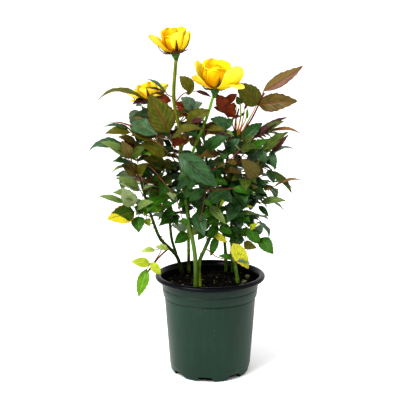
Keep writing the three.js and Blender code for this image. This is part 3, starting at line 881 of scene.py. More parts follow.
# %% Leaf colours: skin, deep, midrib, margin, vein
DARK_RED = (84, 26, 16)
LEAF_COLOURS = {
    "olive": ((92, 92, 10), (66, 74, 8), (104, 42, 18), DARK_RED, (62, 68, 8)),
    "bronze": ((102, 86, 34), (76, 66, 26), (112, 46, 30), DARK_RED, (104, 78, 42)),
    "copper": ((126, 58, 14), (92, 40, 12), (140, 34, 34), (70, 16, 16), (98, 48, 16)),
    "purple": ((74, 42, 44), (52, 32, 30), (112, 48, 52), (58, 20, 26), (88, 56, 56)),
    "dark": ((46, 84, 32), (28, 60, 22), (74, 98, 46), (62, 48, 24), (62, 98, 50)),
    "blue": ((64, 94, 60), (38, 68, 38), (54, 70, 40), (58, 62, 36), (90, 118, 82)),
    "green": ((58, 102, 18), (44, 84, 16), (84, 114, 38), (58, 74, 18), (68, 110, 32)),
    "fresh": ((102, 142, 24), (82, 122, 18), (126, 158, 64), (92, 108, 30), (112, 150, 50)),
    "light": ((108, 130, 72), (84, 108, 54), (136, 102, 76), (108, 90, 56), (130, 148, 96)),
    "grey": ((88, 110, 86), (60, 84, 62), (84, 72, 52), (74, 60, 44), (122, 140, 112)),
    "lime": ((168, 176, 46), (128, 154, 36), (176, 172, 84), (170, 118, 44), (186, 190, 84)),
    "yellow": ((176, 172, 42), (146, 156, 42), (176, 128, 40), (190, 88, 30), (190, 188, 76)),
    "turning": ((36, 80, 8), (28, 66, 8), (96, 100, 20), (206, 122, 34), (52, 96, 16)),
    "pink_under": ((132, 98, 66), (104, 84, 48), (140, 60, 50), DARK_RED, (150, 114, 82)),
    "grey_under": ((96, 116, 82), (74, 98, 62), (116, 104, 74), (80, 70, 50), (118, 136, 100)),
    "pale_under": ((134, 148, 108), (110, 130, 84), (146, 112, 92), (112, 94, 64), (154, 162, 126)),
    "folded": ((118, 86, 68), (98, 68, 50), (84, 40, 30), DARK_RED, (122, 90, 70)),
    "brown": ((108, 96, 46), (82, 82, 34), (116, 62, 38), DARK_RED, (96, 90, 46)),
    "sheen": ((56, 88, 50), (32, 60, 32), (46, 40, 30), (30, 44, 26), (100, 122, 92)),
    "moss": ((74, 92, 30), (50, 72, 20), (104, 70, 36), (80, 44, 24), (92, 108, 44)),
    "pale_lime": ((186, 206, 122), (166, 190, 98), (164, 140, 88), (150, 122, 74), (164, 178, 106)),
}
LEAF_EXTRAS = {
    "blue": {"gloss": 0.36},
    "grey": {"gloss": 0.34},
    "sheen": {"gloss": 0.32, "vein_depth": 0.32},
    "yellow": {"spots": (82, 112, 30)},
    "turning": {"half": (188, 178, 34), "slant": 1.8, "flecks": (140, 104, 20)},
    "folded": {"half": (112, 94, 50)},
}
MATT_FINISHES = ("pink_under", "grey_under", "pale_under", "pale_lime")
LEAF_EXTRAS.update({name: {"gloss": 0.5} for name in MATT_FINISHES})
UNDER_OF = {"yellow": "yellow", "pink_under": "olive", "grey_under": "dark", "pale_under": "light"}
UNDER_OF.update(dict.fromkeys(("olive", "bronze", "copper", "purple", "folded", "brown"), "pink_under"))
UNDER_OF.update(dict.fromkeys(("dark", "blue", "green", "grey", "sheen"), "grey_under"))
UNDER_OF.update(dict.fromkeys(("fresh", "light", "lime", "turning", "moss", "pale_lime"), "pale_under"))
leaf_finishes = list(LEAF_COLOURS)
leaf_skins = [leaf_skin(name, LEAF_COLOURS[name], **LEAF_EXTRAS.get(name, {})) for name in leaf_finishes]
print("leaf finishes:", len(leaf_skins))

# %% [markdown]
# ## Leaf stalks, and where leaves grow
#
# Every leaf starts on a cane: its stalk's first point is on the cane's own route, so it holds on from
# any side. `stem_point` gives that point. `nearest_on` finds where a leaflet's own short stalk leaves
# the main one.

# %% Stalks, leaflets, and leaves that are given by where they show
STALK_SIDES, STALK_STEP = 6, 2.5
MAIN_STALK, OWN_STALK = (0.75, 0.45), (0.42, 0.36)
OWN_STALK_FROM, OWN_STALK_SAG = 0.8, 0.4
SEEN_SHARE = 0.9  # a leaflet's real width, as a share of the width that its table gives
USUAL_ARCH = 0.1
clumps = {}
stalk_shells = Shells()
spread = np.random.default_rng(29)


def stem_point(cane, height):
    """The point of a cane's route at this height, in mm."""
    route = routes[cane]
    return np.array([np.interp(height, route[:, 2], route[:, k]) for k in range(3)])


def add_stalk(points, thick, thin, finish=0):
    """A thin tapering stalk through a few points."""
    route = smooth_route(points, STALK_STEP)
    stalk_shells.add_rings(tube(route, np.linspace(thick, thin, len(route))[:, None], STALK_SIDES), finish)
    return route


def add_leaflet(clump, base, tip, up, width, finish, arch=USUAL_ARCH, fold=0.3, twist=0.0):
    """Notes one leaflet for its clump; all of a clump's leaflets are made together later."""
    row = (base, tip, up, width, arch, fold, twist, spread.uniform(0, 6.28), finish)
    clumps.setdefault(clump, []).append(row)


def facing(lean):
    """The way of a leaflet's upper face, tipped from the sky toward the front by these degrees."""
    tipped = math.radians(lean)
    return np.array([0, -math.sin(tipped), math.cos(tipped)])


def nearest_on(route, across, down):
    """The route's point nearest to the view's ray through this place, and the ray's point at its depth."""
    rays = np.stack([seen(across, down, depth) for depth in route[:, 1]])
    nearest = np.argmin(np.linalg.norm(rays - route, axis=1))
    return route[nearest], rays[nearest]


def grow_seen(clump, cane, height, stalk, leaflets):
    """A leaf that starts on its cane at this height, in mm, and is then given by where it shows.

    The stalk's points are (across, down, depth). A leaflet is (base across, base down, tip across, tip
    down, tip depth, width, lean, finish) and its arch where that isn't the usual one. A leaflet whose
    base stands off the stalk gets a short stalk of its own.
    """
    route = add_stalk([stem_point(cane, height)] + [seen(*place) for place in stalk], *MAIN_STALK)
    for base_across, base_down, tip_across, tip_down, depth, width, lean, finish, *arch in leaflets:
        joint, base = nearest_on(route, base_across, base_down)
        if np.linalg.norm(base - joint) > OWN_STALK_FROM:
            add_stalk([joint, (joint + base) / 2 - [0, 0, OWN_STALK_SAG], base], *OWN_STALK)
        tip = seen(tip_across, tip_down, depth)
        bow = arch[0] if arch else USUAL_ARCH
        fold, twist = spread.uniform(0.18, 0.42), spread.uniform(-0.35, 0.35)
        add_leaflet(clump, base, tip, facing(lean), width * SEEN_SHARE, finish, bow, fold, twist)


# %% [markdown]
# ## The leaves that give the bush its outline
#
# The leaves at the edge of the crown and in front decide how the bush reads, so each of these is set one
# by one: the clump it belongs to, its cane and height, its stalk, and every leaflet's base, tip, width
# and finish. `grow_seen` says in what order the numbers stand.

# %% Leaves on the left
LEFT_LEAVES = {
    "left_fan": (
        ("leaves_middle_top", "cane_front", 255),
        [(174.5, 152.7, -18), (172, 143, -28), (169.5, 133, -36)],
        (169.3, 132.5, 149.3, 94.5, -46, 33, 72, "olive", 0.06),
        (172.2, 138.1, 202, 129.6, -52, 21, 38, "olive", 0.14),
        (170, 137, 150.8, 120.5, -30, 15, 45, "dark"),
        (168, 139, 146, 137, -42, 13, 20, "pink_under", 0.06),
        (173, 146, 186, 141, -26, 14, 40, "copper"),
    ),
    "left_long": (
        ("leaves_left_top", "cane_left_fork", 284),
        [(154, 112, 10), (147, 100, 2)],
        (146, 99.5, 97.2, 100.7, -12, 17, 22, "olive", 0.2),
        (147, 100, 132.5, 104.5, -6, 10, 50, "purple", 0.12),
        (146, 99.5, 166, 90.6, 0, 9, 66, "brown", -0.12),
        (155, 99, 171, 101, 4, 16, 70, "copper", 0.12),
        (152, 117, 139, 112, -2, 16, 55, "blue"),
        (155, 116, 146, 126, -6, 13, 50, "dark"),
    ),
    "left_over_bloom": (
        ("leaves_left_top", "cane_front", 326),
        [(168, 95, -2), (164, 90, -3)],
        (164.5, 90.5, 147.3, 79.3, -4, 7, 30, "grey"),
        (163, 91, 146, 88, 0, 5, 30, "purple", 0.06),
    ),
    "left_upper": (
        ("leaves_left_top", "cane_front", 252),
        [(178, 164, -20), (168, 152, -38), (156.9, 142.5, -44), (145.4, 137.4, -38), (130, 130, -28)],
        (131, 130, 104, 126.9, -26, 9, 22, "blue"),
        (133, 127, 108, 123.3, -22, 6, 10, "copper", 0.08),
        (130, 132.6, 105.3, 133.9, -34, 14, 45, "olive", 0.12),
        (157, 135, 129.5, 125.6, -18, 25, 48, "blue", 0.12),
        (152, 141, 131, 135.5, -32, 12, 40, "olive"),
        (147, 137.5, 129, 129.8, -30, 13, 62, "bronze", 0.05),
        (164.5, 157, 141.5, 143.8, -36, 19, 50, "olive", 0.12),
        (157, 139, 135, 117, -12, 13, 55, "bronze"),
    ),
    "left_shoulder": (
        ("leaves_left_shoulder", "cane_left", 226),
        [(137, 174, -16), (131, 165, -22), (128.5, 158.5, -24)],
        (128.5, 151, 88.9, 151.4, -20, 21, 30, "blue", 0.22),
        (128, 158.6, 100.3, 142.3, -34, 15, 48, "light", 0.16),
        (131, 157.3, 121.8, 140.5, -32, 17, 78, "brown", 0.08),
        (131, 157.5, 146.6, 146.3, -34, 14, 64, "moss"),
        (130.5, 159.8, 158.6, 157, -38, 10, 22, "fresh", 0.14),
        (131.5, 165, 112.3, 161.6, -32, 12, 35, "blue"),
        (134, 170, 111.6, 173.2, -30, 9, 15, "light", 0.2),
        (137, 174, 121.5, 164.5, -24, 18, 58, "brown"),
        (138, 175, 148, 163, -26, 15, 60, "olive"),
    ),
    "left_inner": (
        ("leaves_left_shoulder", "cane_left_fork", 222),
        [(161, 176, 4), (164, 170, -8), (166, 166, -14)],
        (165, 168, 143.5, 159.5, -20, 24, 48, "olive"),
        (162, 176, 144.5, 168, -16, 16, 55, "dark"),
        (166, 172, 176, 163, -18, 13, 50, "dark"),
        (164, 176, 172, 186, -14, 13, 55, "moss"),
        (156, 180, 143, 178, -12, 10, 50, "bronze", 0.14),
    ),
    "left_centre": (
        ("leaves_left_shoulder", "cane_left_fork", 238),
        [(163, 164, 4), (160, 156, -10), (158, 150, -16)],
        (158, 151, 141, 143, -22, 15, 50, "dark"),
        (160, 154, 148, 152, -24, 12, 46, "blue"),
        (160, 155, 174, 148, -20, 14, 50, "dark"),
        (162, 162, 176, 170, -20, 14, 60, "olive"),
        (161, 160, 149, 168, -26, 14, 60, "dark"),
        (158, 150, 162, 138, -16, 13, 60, "brown"),
    ),
    "left_red": (
        ("leaves_left_shoulder", "cane_left", 236),
        [(131, 158, -10), (134, 148, -14), (137, 142, -16)],
        (136, 143, 118, 137, -16, 11, 46, "brown", 0.12),
        (137, 142, 146, 132, -16, 14, 60, "dark"),
        (133, 150, 146, 148, -20, 12, 50, "brown"),
        (132, 152, 117, 150, -10, 12, 50, "moss"),
        (134, 148, 124, 140, -12, 11, 60, "copper"),
    ),
    "left_twig": (
        ("leaves_left_low", "cane_left_fork", 208),
        [(160, 190, 6), (156, 184, -2), (150, 176, -8)],
        (150, 176, 140, 170, -12, 12, 56, "dark"),
        (153, 180, 164, 174, -10, 12, 56, "green"),
        (154, 182, 143, 183, -12, 10, 50, "brown"),
        (157, 186, 168, 184, -8, 11, 56, "green"),
        (158, 188, 150, 196, -10, 11, 62, "green"),
    ),
    "left_lower_twig": (
        ("leaves_left_low", "cane_left_fork", 182),
        [(168, 214, 10), (163, 208, 2), (158, 203, -6)],
        (158, 203, 147, 199, -10, 10, 56, "grey"),
        (162, 207, 173, 203, -4, 12, 60, "green"),
        (161, 206, 153, 213, -8, 11, 64, "fresh"),
        (165, 211, 176, 216, -4, 12, 64, "green"),
    ),
    "left_pair": (
        ("leaves_left_low", "cane_left", 207),
        [(143, 195, -14), (139, 189, -20)],
        (139.5, 188, 115.4, 178, -28, 11, 48, "light", 0.12),
        (139.5, 190.5, 118.5, 183.5, -32, 12, 50, "pale_under"),
        (143, 189.5, 155, 186, -18, 7, 25, "light"),
    ),
    "left_low": (
        ("leaves_left_low", "cane_left", 186),
        [(143, 214, -12), (136, 209, -22), (132, 204.5, -26)],
        (124, 203, 99, 196.2, -26, 9, 50, "light"),
        (133.5, 205.5, 121.5, 187.3, -38, 21, 72, "pale_under", 0.08),
        (135, 200, 112.6, 192.8, -30, 15, 42, "light", 0.16),
        (136, 208.5, 153.5, 202, -34, 13, 50, "light"),
        (150, 206, 144.3, 216.2, -26, 13, 62, "fresh"),
        (135.5, 206, 143, 214, -24, 11, 50, "dark"),
        (134.3, 212, 107.3, 219.3, -38, 25, 74, "turning", 0.06),
        (138, 216.5, 138.8, 232.3, -30, 18, 74, "green", 0.08),
        (146, 219, 150, 226.5, -16, 10, 66, "lime"),
    ),
    "left_mid": (
        ("leaves_left_low", "cane_left_fork", 196),
        [(160, 204, 10), (153, 202, 2)],
        (154, 204, 163.5, 197.4, -4, 12, 60, "grey"),
        (153, 202, 144, 199, -4, 8, 45, "light"),
    ),
    "left_sprig": (
        ("leaves_yellow_left", "stalk_yellow_left", 129),
        [(147, 268.5, -38)],
        (150, 263.6, 131.4, 261.6, -44, 13, 68, "lime", 0.08),
        (151, 262.5, 160.8, 274.4, -40, 11.5, 76, "lime"),
        (146.5, 269, 138.6, 296.5, -46, 15, 80, "fresh"),
    ),
    "left_sprig_upper": (
        ("leaves_yellow_left", "stalk_yellow_left", 142),
        [(161, 249.4, -2), (154.5, 250, -12)],
        (155, 250, 140.6, 252.4, -20, 9, 50, "pale_lime", 0.12),
        (168, 248.6, 155, 247.2, -6, 9, 54, "pale_lime", 0.14),
    ),
    "centre_low_left": (
        ("leaves_middle_low", "cane_left_fork", 172),
        [(170, 216, 14), (171, 205, 0)],
        (167, 200, 162.5, 183.4, -8, 19, 66, "green", 0.08),
        (166, 198, 149.3, 189.8, -6, 9, 55, "olive"),
        (179, 200, 167.5, 190.6, -10, 14, 70, "grey"),
        (172, 215, 160.5, 224.5, -12, 19, 72, "green"),
        (172, 216, 178, 226, -10, 11, 62, "green"),
    ),
    "left_pale_inner": (
        ("leaves_left_low", "cane_left", 192),
        [(144, 208, -8), (142, 204, -14)],
        (143, 205, 133, 201, -18, 10, 52, "pale_under"),
        (143, 206, 151, 214, -16, 10, 62, "dark"),
        (144, 208, 136, 215, -14, 10, 62, "light"),
    ),
    "behind_stem_top": (
        ("leaves_middle_top", "cane_front", 296),
        [(184, 116, 8), (186, 109, 12)],
        (186, 109, 175, 103, 12, 12, 60, "copper"),
        (187, 111, 199, 116, 12, 13, 56, "brown"),
        (185, 113, 174, 118, 10, 12, 56, "olive"),
        (185, 115, 194, 122, 12, 11, 60, "bronze"),
    ),
    "behind_stem": (
        ("leaves_middle_top", "cane_front", 264),
        [(186, 140, 8), (190, 134, 14)],
        (190, 134, 199, 123, 16, 15, 60, "bronze"),
        (189, 136, 178, 146, 10, 15, 62, "brown"),
        (190, 138, 201, 147, 12, 16, 62, "bronze"),
        (188, 132, 177, 122, 12, 14, 60, "dark"),
        (191, 133, 205, 138, 10, 13, 50, "moss"),
    ),
    "behind_stem_low": (
        ("leaves_middle_front", "cane_front", 234),
        [(190, 166, 6), (192, 160, 10)],
        (192, 160, 181, 151, 14, 15, 60, "dark"),
        (193, 160, 206, 154, 12, 15, 58, "brown"),
        (193, 163, 205, 170, 8, 14, 60, "dark"),
        (191, 164, 180, 171, 10, 14, 62, "green"),
    ),
    "centre_facing": (
        ("leaves_middle_low", "cane_middle", 160),
        [(188, 232, 10), (187, 233, 2)],
        (187, 233, 174.6, 243.4, -8, 15, 80, "green", 0.08),
    ),
}

# %% Leaves in the middle
MIDDLE_LEAVES = {
    "big_front": (
        ("leaves_middle_front", "cane_front", 258),
        [(180, 150, -34), (178.6, 154, -52)],
        (178.6, 154, 217.5, 187, -66, 28, 78, "sheen", 0.05),
    ),
    "front_under": (
        ("leaves_middle_front", "shoot_front", 250),
        [(190, 168, -40), (194, 171, -42)],
        (194, 171, 178, 180, -40, 13, 45, "dark"),
        (195, 172, 210, 186, -40, 14, 50, "dark"),
        (194, 172, 190, 190, -46, 15, 60, "dark"),
        (191, 168, 204, 176, -44, 12, 50, "olive"),
    ),
    "over_rose": (
        ("leaves_middle_top", "cane_front", 318),
        [(183, 94, -10), (192, 91, -14)],
        (193, 91, 179.6, 76.3, -12, 16, 62, "olive"),
        (196, 91, 211, 97, -16, 6, 45, "purple", 0.06),
        (187, 94, 194.5, 88.6, -16, 8, 60, "olive"),
    ),
    "upper_grey": (
        ("leaves_middle_top", "cane_front", 296),
        [(186, 118, -12), (194, 109, -16)],
        (194, 109, 181, 97.5, -18, 17, 66, "grey"),
        (193, 108.5, 202.5, 103, -18, 12, 60, "grey"),
        (187, 116, 176.5, 107, -10, 10, 50, "copper"),
        (190, 113, 180.5, 112.5, -18, 8, 40, "dark"),
    ),
    "upper_folded": (
        ("leaves_middle_top", "cane_front", 276),
        [(184, 131, -12), (187, 125, -18)],
        (187, 124, 210, 110, -24, 22, 66, "olive", 0.08),
        (187, 126, 204, 121, -30, 13, 40, "purple", 0.08),
        (202, 128.5, 184, 125.4, -32, 8, 20, "blue"),
        (206, 129, 225.5, 131.5, -32, 12, 46, "olive"),
        (188, 130, 197, 139, -30, 12, 46, "dark"),
    ),
    "upper_right_of_stem": (
        ("leaves_middle_top", "cane_front_fork", 262),
        [(223, 140, -8), (224, 131, -16)],
        (229, 127.5, 210.3, 118.8, -20, 17, 60, "blue"),
        (224, 128, 233.5, 119, -16, 12, 60, "dark"),
        (214.5, 133, 226.8, 146.2, -30, 7, 40, "grey", 0.12),
        (222, 132, 234, 136.5, -24, 8, 30, "light", 0.12),
        (226, 136, 206, 134, -28, 16, 40, "bronze"),
    ),
    "middle_dark": (
        ("leaves_middle_front", "cane_front_fork", 244),
        [(222, 158, -14), (217, 152, -26)],
        (206, 151, 228.5, 137, -34, 20, 50, "dark"),
        (218, 153, 200, 156.5, -38, 14, 60, "bronze"),
        (226, 152, 240.5, 139, -24, 17, 56, "blue"),
        (214, 150, 203, 141, -26, 15, 55, "dark"),
        (220, 157, 236, 151, -30, 13, 46, "dark"),
        (214, 160, 225, 168, -34, 14, 60, "moss"),
        (206, 156, 196, 146, -20, 13, 56, "dark"),
    ),
    "middle_right": (
        ("leaves_middle_front", "cane_front_fork", 214),
        [(223, 182, -14), (226, 174, -24)],
        (226, 172, 211, 171, -26, 13, 50, "dark"),
        (222, 170, 241, 174, -34, 11, 46, "bronze", 0.08),
        (228, 172, 236.5, 160, -22, 14, 56, "dark"),
        (223, 182, 236, 178, -24, 12, 50, "olive"),
        (222, 180, 208.5, 186, -24, 13, 60, "bronze"),
    ),
    "centre_low": (
        ("leaves_middle_low", "cane_middle", 204),
        [(190, 194, -10), (196, 188.6, -26), (212, 190, -38), (235, 188.5, -44), (255.9, 193.5, -36)],
        (176, 189, 197, 179, -28, 14, 55, "blue"),
        (206, 190, 189, 201, -28, 15, 60, "dark"),
        (226, 190, 208.5, 203.5, -32, 17, 62, "dark"),
        (232, 188.5, 256, 195, -46, 12, 50, "green", 0.06),
        (232, 189, 245, 199, -36, 13, 56, "dark"),
        (246, 190, 258, 187, -34, 10, 40, "brown"),
        (218, 190, 232, 203, -34, 14, 60, "blue"),
        (195, 190, 183, 198, -26, 12, 60, "dark"),
        (200, 189, 209, 178, -28, 13, 60, "dark"),
        (190, 196, 178, 209, -16, 14, 64, "green"),
        (192, 196, 201, 211, -18, 14, 66, "dark"),
    ),
    "centre_light": (
        ("leaves_right_low", "cane_front_fork", 186),
        [(214, 210, -16)],
        (210, 206, 226, 224.5, -36, 13, 66, "light"),
        (219.5, 208, 230, 191, -34, 4.5, 60, "lime", 0.06),
        (214, 209, 203, 218, -24, 13, 66, "green"),
        (216, 212, 229, 209, -22, 11, 50, "green"),
    ),
    "low_green": (
        ("leaves_right_low", "cane_front_fork", 160),
        [(214, 231, -8), (220, 222, -16)],
        (219, 224, 206, 218, -18, 13, 62, "green"),
        (220, 223, 233, 217, -22, 13, 60, "green"),
        (218, 226, 207, 237, -20, 13, 66, "green"),
        (220, 226, 232, 234, -22, 14, 66, "green"),
        (220, 221, 219, 208, -16, 12, 60, "dark"),
    ),
    "low_stem": (
        ("leaves_middle_low", "cane_front_fork", 158),
        [(206, 232, -10), (201, 227, -18)],
        (200, 226, 189, 218, -22, 14, 62, "dark"),
        (201, 227, 191, 235, -20, 12, 66, "moss"),
        (203, 228, 213, 221, -22, 13, 60, "green"),
        (205, 231, 198, 240, -18, 11, 66, "green"),
        (206, 231, 215, 238, -16, 12, 62, "green"),
        (201, 226, 201, 213, -18, 13, 64, "dark"),
    ),
    "low_stem_upper": (
        ("leaves_middle_low", "cane_front_fork", 184),
        [(208, 208, -8), (205, 204, -14)],
        (205, 205, 193, 202, -14, 12, 60, "blue"),
        (206, 207, 196, 214, -14, 12, 62, "green"),
        (207, 207, 214, 215, -12, 11, 62, "dark"),
    ),
    "front_twig": (
        ("leaves_right_low", "cane_front_fork", 151),
        [(207, 249.5, -18), (216, 256.5, -26), (226, 259.5, -34)],
        (234.5, 258, 218.2, 256, -40, 8, 62, "green"),
        (227, 258.6, 251, 264, -48, 5, 50, "grey", 0.08),
    ),
    "centre_droop": (
        ("leaves_right_low", "cane_front_fork", 172),
        [(215, 233, -14)],
        (217, 236.5, 210.6, 256, -20, 11, 70, "green"),
        (214, 232.5, 227.5, 242.6, -22, 9.5, 84, "yellow"),
        (231.5, 236.5, 217.6, 229.5, -18, 11, 55, "dark"),
    ),
    "twig_down": (
        ("leaves_middle_low", "cane_middle", 226),
        [(207, 182, -30), (205, 196, -36), (202, 212, -34), (198, 226, -28)],
        (198, 226, 192, 233, -28, 8, 60, "moss"),
        (204.5, 200, 212, 207, -36, 8, 60, "green"),
    ),
    "twig_across": (
        ("leaves_middle_front", "cane_middle", 236),
        [(207, 171, -26), (221, 166, -38), (234, 156, -42), (247, 143, -40)],
        (246, 144, 253, 134, -40, 8, 60, "moss"),
        (228, 161, 237, 164, -40, 8, 60, "bronze"),
    ),
    "twig_left": (
        ("leaves_left_low", "cane_left", 236),
        [(148, 166, -24), (162, 180, -34), (176, 199, -36), (182, 218, -28)],
        (177, 200, 166.5, 193, -36, 9, 52, "pale_under"),
        (182, 218, 187, 226, -28, 8, 60, "green"),
    ),
}

# %% Leaves on the right
RIGHT_LEAVES = {
    "crest": (
        ("leaves_right_crest", "shoot_crest", 315),
        [(258, 104, 4), (263.8, 91.2, 2)],
        (263.4, 91, 303, 66, -6, 18, 62, "folded", -0.06),
        (258.7, 105, 297.5, 101.2, -10, 25, 76, "bronze", 0.06),
        (258.5, 104.5, 237, 83, -2, 27, 76, "olive", 0.06),
    ),
    "crest_red": (
        ("leaves_right_crest", "cane_right", 275),
        [(231, 121, 0), (227.6, 117, -4), (225, 106, -6)],
        (227, 111, 216.3, 94.5, -10, 19, 72, "copper", 0.08),
        (227.6, 117, 234.5, 102.5, -10, 16, 68, "copper", 0.08),
        (226, 112, 213.6, 107.5, -8, 10, 50, "purple"),
        (231, 120, 241, 116.5, -8, 8, 40, "copper"),
        (226, 104, 237, 94, -4, 12, 60, "copper"),
    ),
    "right_upper": (
        ("leaves_right_shoulder", "cane_right", 236),
        [(236, 156, -14), (245, 147, -18), (252.7, 138.5, -18), (263, 132, -20)],
        (243, 139.5, 262.3, 123.2, -14, 16, 62, "dark"),
        (252.7, 139.4, 287.3, 117.3, -22, 11, 36, "purple", 0.08),
        (263, 131.7, 283.8, 121.3, -26, 10, 50, "moss", 0.08),
        (267, 132.5, 299.8, 133.2, -28, 9, 25, "pink_under", 0.12),
        (247, 143, 243, 132, -10, 11, 56, "olive"),
    ),
    "right_green": (
        ("leaves_right_shoulder", "cane_right", 240),
        [(242, 156, -12), (250, 149, -20), (262, 150, -26)],
        (246, 153, 270.5, 139, -30, 14, 60, "green", 0.08),
        (262.1, 153.4, 288.5, 132, -34, 15, 55, "moss"),
        (272, 151.5, 288.6, 134.5, -40, 8, 74, "purple", 0.12),
        (262, 150, 275, 146, -30, 9, 40, "light"),
        (271, 151, 275, 170, -34, 10, 66, "blue", 0.12),
        (259.5, 149, 266, 163.5, -32, 11, 66, "blue", 0.12),
        (247, 158, 261.5, 157, -28, 15, 66, "grey"),
        (246, 152, 236, 143, -22, 15, 60, "dark"),
    ),
    "right_brown": (
        ("leaves_right_shoulder", "cane_right", 222),
        [(236.5, 181, -16), (240, 178, -20)],
        (257.5, 177, 241, 159, -34, 22, 76, "brown", 0.06),
        (237, 180, 224.5, 177, -26, 12, 55, "moss"),
        (240, 179, 246, 190, -26, 12, 60, "dark"),
    ),
    "right_droop": (
        ("leaves_right_middle", "cane_right_outer", 244),
        [(264, 168, -6), (270, 171, -12)],
        (270, 171, 291.6, 193.4, -22, 10, 42, "moss", 0.16),
        (268, 170, 274, 183, -18, 11, 60, "blue"),
        (262, 168, 252, 178, -16, 13, 62, "bronze"),
    ),
    "right_long": (
        ("leaves_right_middle", "cane_right_outer", 214),
        [(255, 190, -6), (263, 188, -14), (272, 187.6, -20)],
        (272.5, 187.6, 301, 179.8, -30, 8, 20, "pink_under"),
        (264, 188.5, 272, 189.5, -22, 7, 60, "bronze", 0.2),
        (240, 190.5, 269.5, 183.5, -26, 15, 42, "dark"),
        (236, 189, 257, 183, -22, 13, 45, "green"),
        (256, 193, 268, 198, -24, 11, 50, "dark"),
        (248, 206, 260.5, 196.5, -24, 17, 72, "grey", 0.08),
        (250, 192, 239, 199, -18, 13, 56, "grey"),
    ),
    "right_lance": (
        ("leaves_right_middle", "cane_right_outer", 200),
        [(252, 203, -4), (261, 202, -12)],
        (261, 202.3, 286, 201, -24, 12, 46, "light", 0.08),
        (258.8, 206, 268.6, 216.8, -18, 8, 55, "dark"),
        (249, 205, 238, 205, -14, 13, 55, "green"),
    ),
    "right_low_cluster": (
        ("leaves_right_low", "cane_right", 192),
        [(236, 212, -8), (240, 206, -14)],
        (240, 206, 228, 197, -20, 14, 58, "dark"),
        (240, 207, 252, 200, -24, 13, 56, "blue"),
        (238, 213, 250, 222, -24, 15, 64, "green"),
        (236, 214, 225, 222, -18, 14, 62, "dark"),
        (237, 216, 241, 229, -20, 13, 66, "grey"),
        (240, 207, 254, 207.5, -26, 6, 60, "lime", 0.12),
        (237, 214, 258, 214.5, -26, 8, 56, "light"),
    ),
    "right_low_dark": (
        ("leaves_right_low", "cane_right", 176),
        [(238, 222, -12), (248, 228, -18)],
        (236, 226, 244.5, 210.8, -22, 17, 72, "dark", 0.08),
        (247.5, 229, 259.8, 244, -24, 16, 72, "green"),
        (256, 234, 263.4, 222.8, -26, 11, 70, "grey"),
        (250, 229, 258.5, 223, -30, 8, 66, "lime"),
        (226.5, 228.5, 238.5, 238, -20, 10, 60, "green"),
        (260.5, 238, 273.3, 254, -32, 18, 74, "green", 0.08),
        (244, 243.5, 256.6, 248, -28, 12.5, 82, "olive"),
    ),
    "right_low_inner": (
        ("leaves_right_low", "cane_right", 166),
        [(240, 237, -8), (241, 234, -12)],
        (241, 235, 231, 226, -16, 13, 62, "dark"),
        (242, 236, 247, 227, -14, 12, 60, "green"),
        (242, 236, 236.5, 246, -16, 11, 68, "blue"),
        (241, 237, 229, 242, -10, 12, 64, "green"),
    ),
    "right_crown_inner": (
        ("leaves_right_shoulder", "cane_right", 260),
        [(240, 140, 4)],
        (241, 139, 230, 132, 4, 14, 60, "dark"),
        (242, 139, 251, 129, 6, 14, 60, "olive"),
        (240, 142, 249, 149, 0, 14, 60, "green"),
    ),
    "right_sprig": (
        ("leaves_yellow_right", "stalk_yellow_right", 154),
        [(238, 250, -34)],
        (232.5, 243.5, 248.5, 268.8, -42, 19, 76, "yellow", 0.08),
    ),
}
for leaves in (LEFT_LEAVES, MIDDLE_LEAVES, RIGHT_LEAVES):
    for home, stalk, *leaflets in leaves.values():
        grow_seen(*home, stalk, leaflets)
print("leaflets set by hand:", sum(len(rows) for rows in clumps.values()))

# %% Young shoots that stand up from the top of the right cane
YOUNG_SHOOTS = [
    ([(237, 130, 0), (236, 118, -2), (236.3, 106.7, -2)], 0.8, 0.5),
    ([(238.5, 128, -2), (240.8, 116, -4), (240.2, 103, -4)], 1.2, 0.8),
    ([(241.5, 128, 0), (245.5, 120, -2), (247, 112, -2)], 0.9, 0.5),
    ([(245, 127, 3), (252, 114, 3), (257, 104.5, 5)], 0.9, 0.5),
    ([(239, 132, 2), (242, 124, 2), (244.5, 108, 2)], 0.8, 0.5),
]
shoot_foot = stem_point("cane_right", 275)
for places, thick, thin in YOUNG_SHOOTS:
    add_stalk([shoot_foot] + [seen(*place) for place in places], thick, thin, 1)
YOUNG_LEAVES = [
    (240.2, 104.5, 236.5, 96.5, -4, 8, 70, "moss"),
    (240.4, 104, 243.5, 97.5, 0, 5, 60, "olive"),
    (247, 118.5, 247.3, 108.5, 0, 3.4, 80, "fresh"),
    (244.5, 109, 248, 103.5, 8, 3, 60, "copper"),
    (236.3, 107, 232.5, 103.5, 2, 3, 60, "copper"),
    (257, 105, 259.5, 99, 4, 2.4, 60, "copper"),
    (241, 116, 245, 112.5, 0, 3, 60, "bronze"),
]
for base_across, base_down, tip_across, tip_down, depth, width, lean, finish in YOUNG_LEAVES:
    base, tip = seen(base_across, base_down, depth), seen(tip_across, tip_down, depth)
    add_leaflet("leaves_right_crest", base, tip, facing(lean), width, finish, 0.05, 0.4)

# %% [markdown]
# ## The leaves that fill the crown
#
# The rest of the crown follows a growing rule. A leaf leaves its cane at a given height and way, its
# stalk rises and then arches outward and down, and its leaflets sit in pairs along the outer half with
# the largest at the end. Size, way, droop and finish are drawn from a seeded generator, so each run
# grows the same bush.

# %% The growing rule
GROWN_STALK, STALK_DROOP = (0.7, 0.4), 0.55
FIRST_PAIR, PAIRS_REACH = 0.5, 0.42
END_SIZE, LEAFLET_GAP = 1.15, 0.6
grower = np.random.default_rng(5)


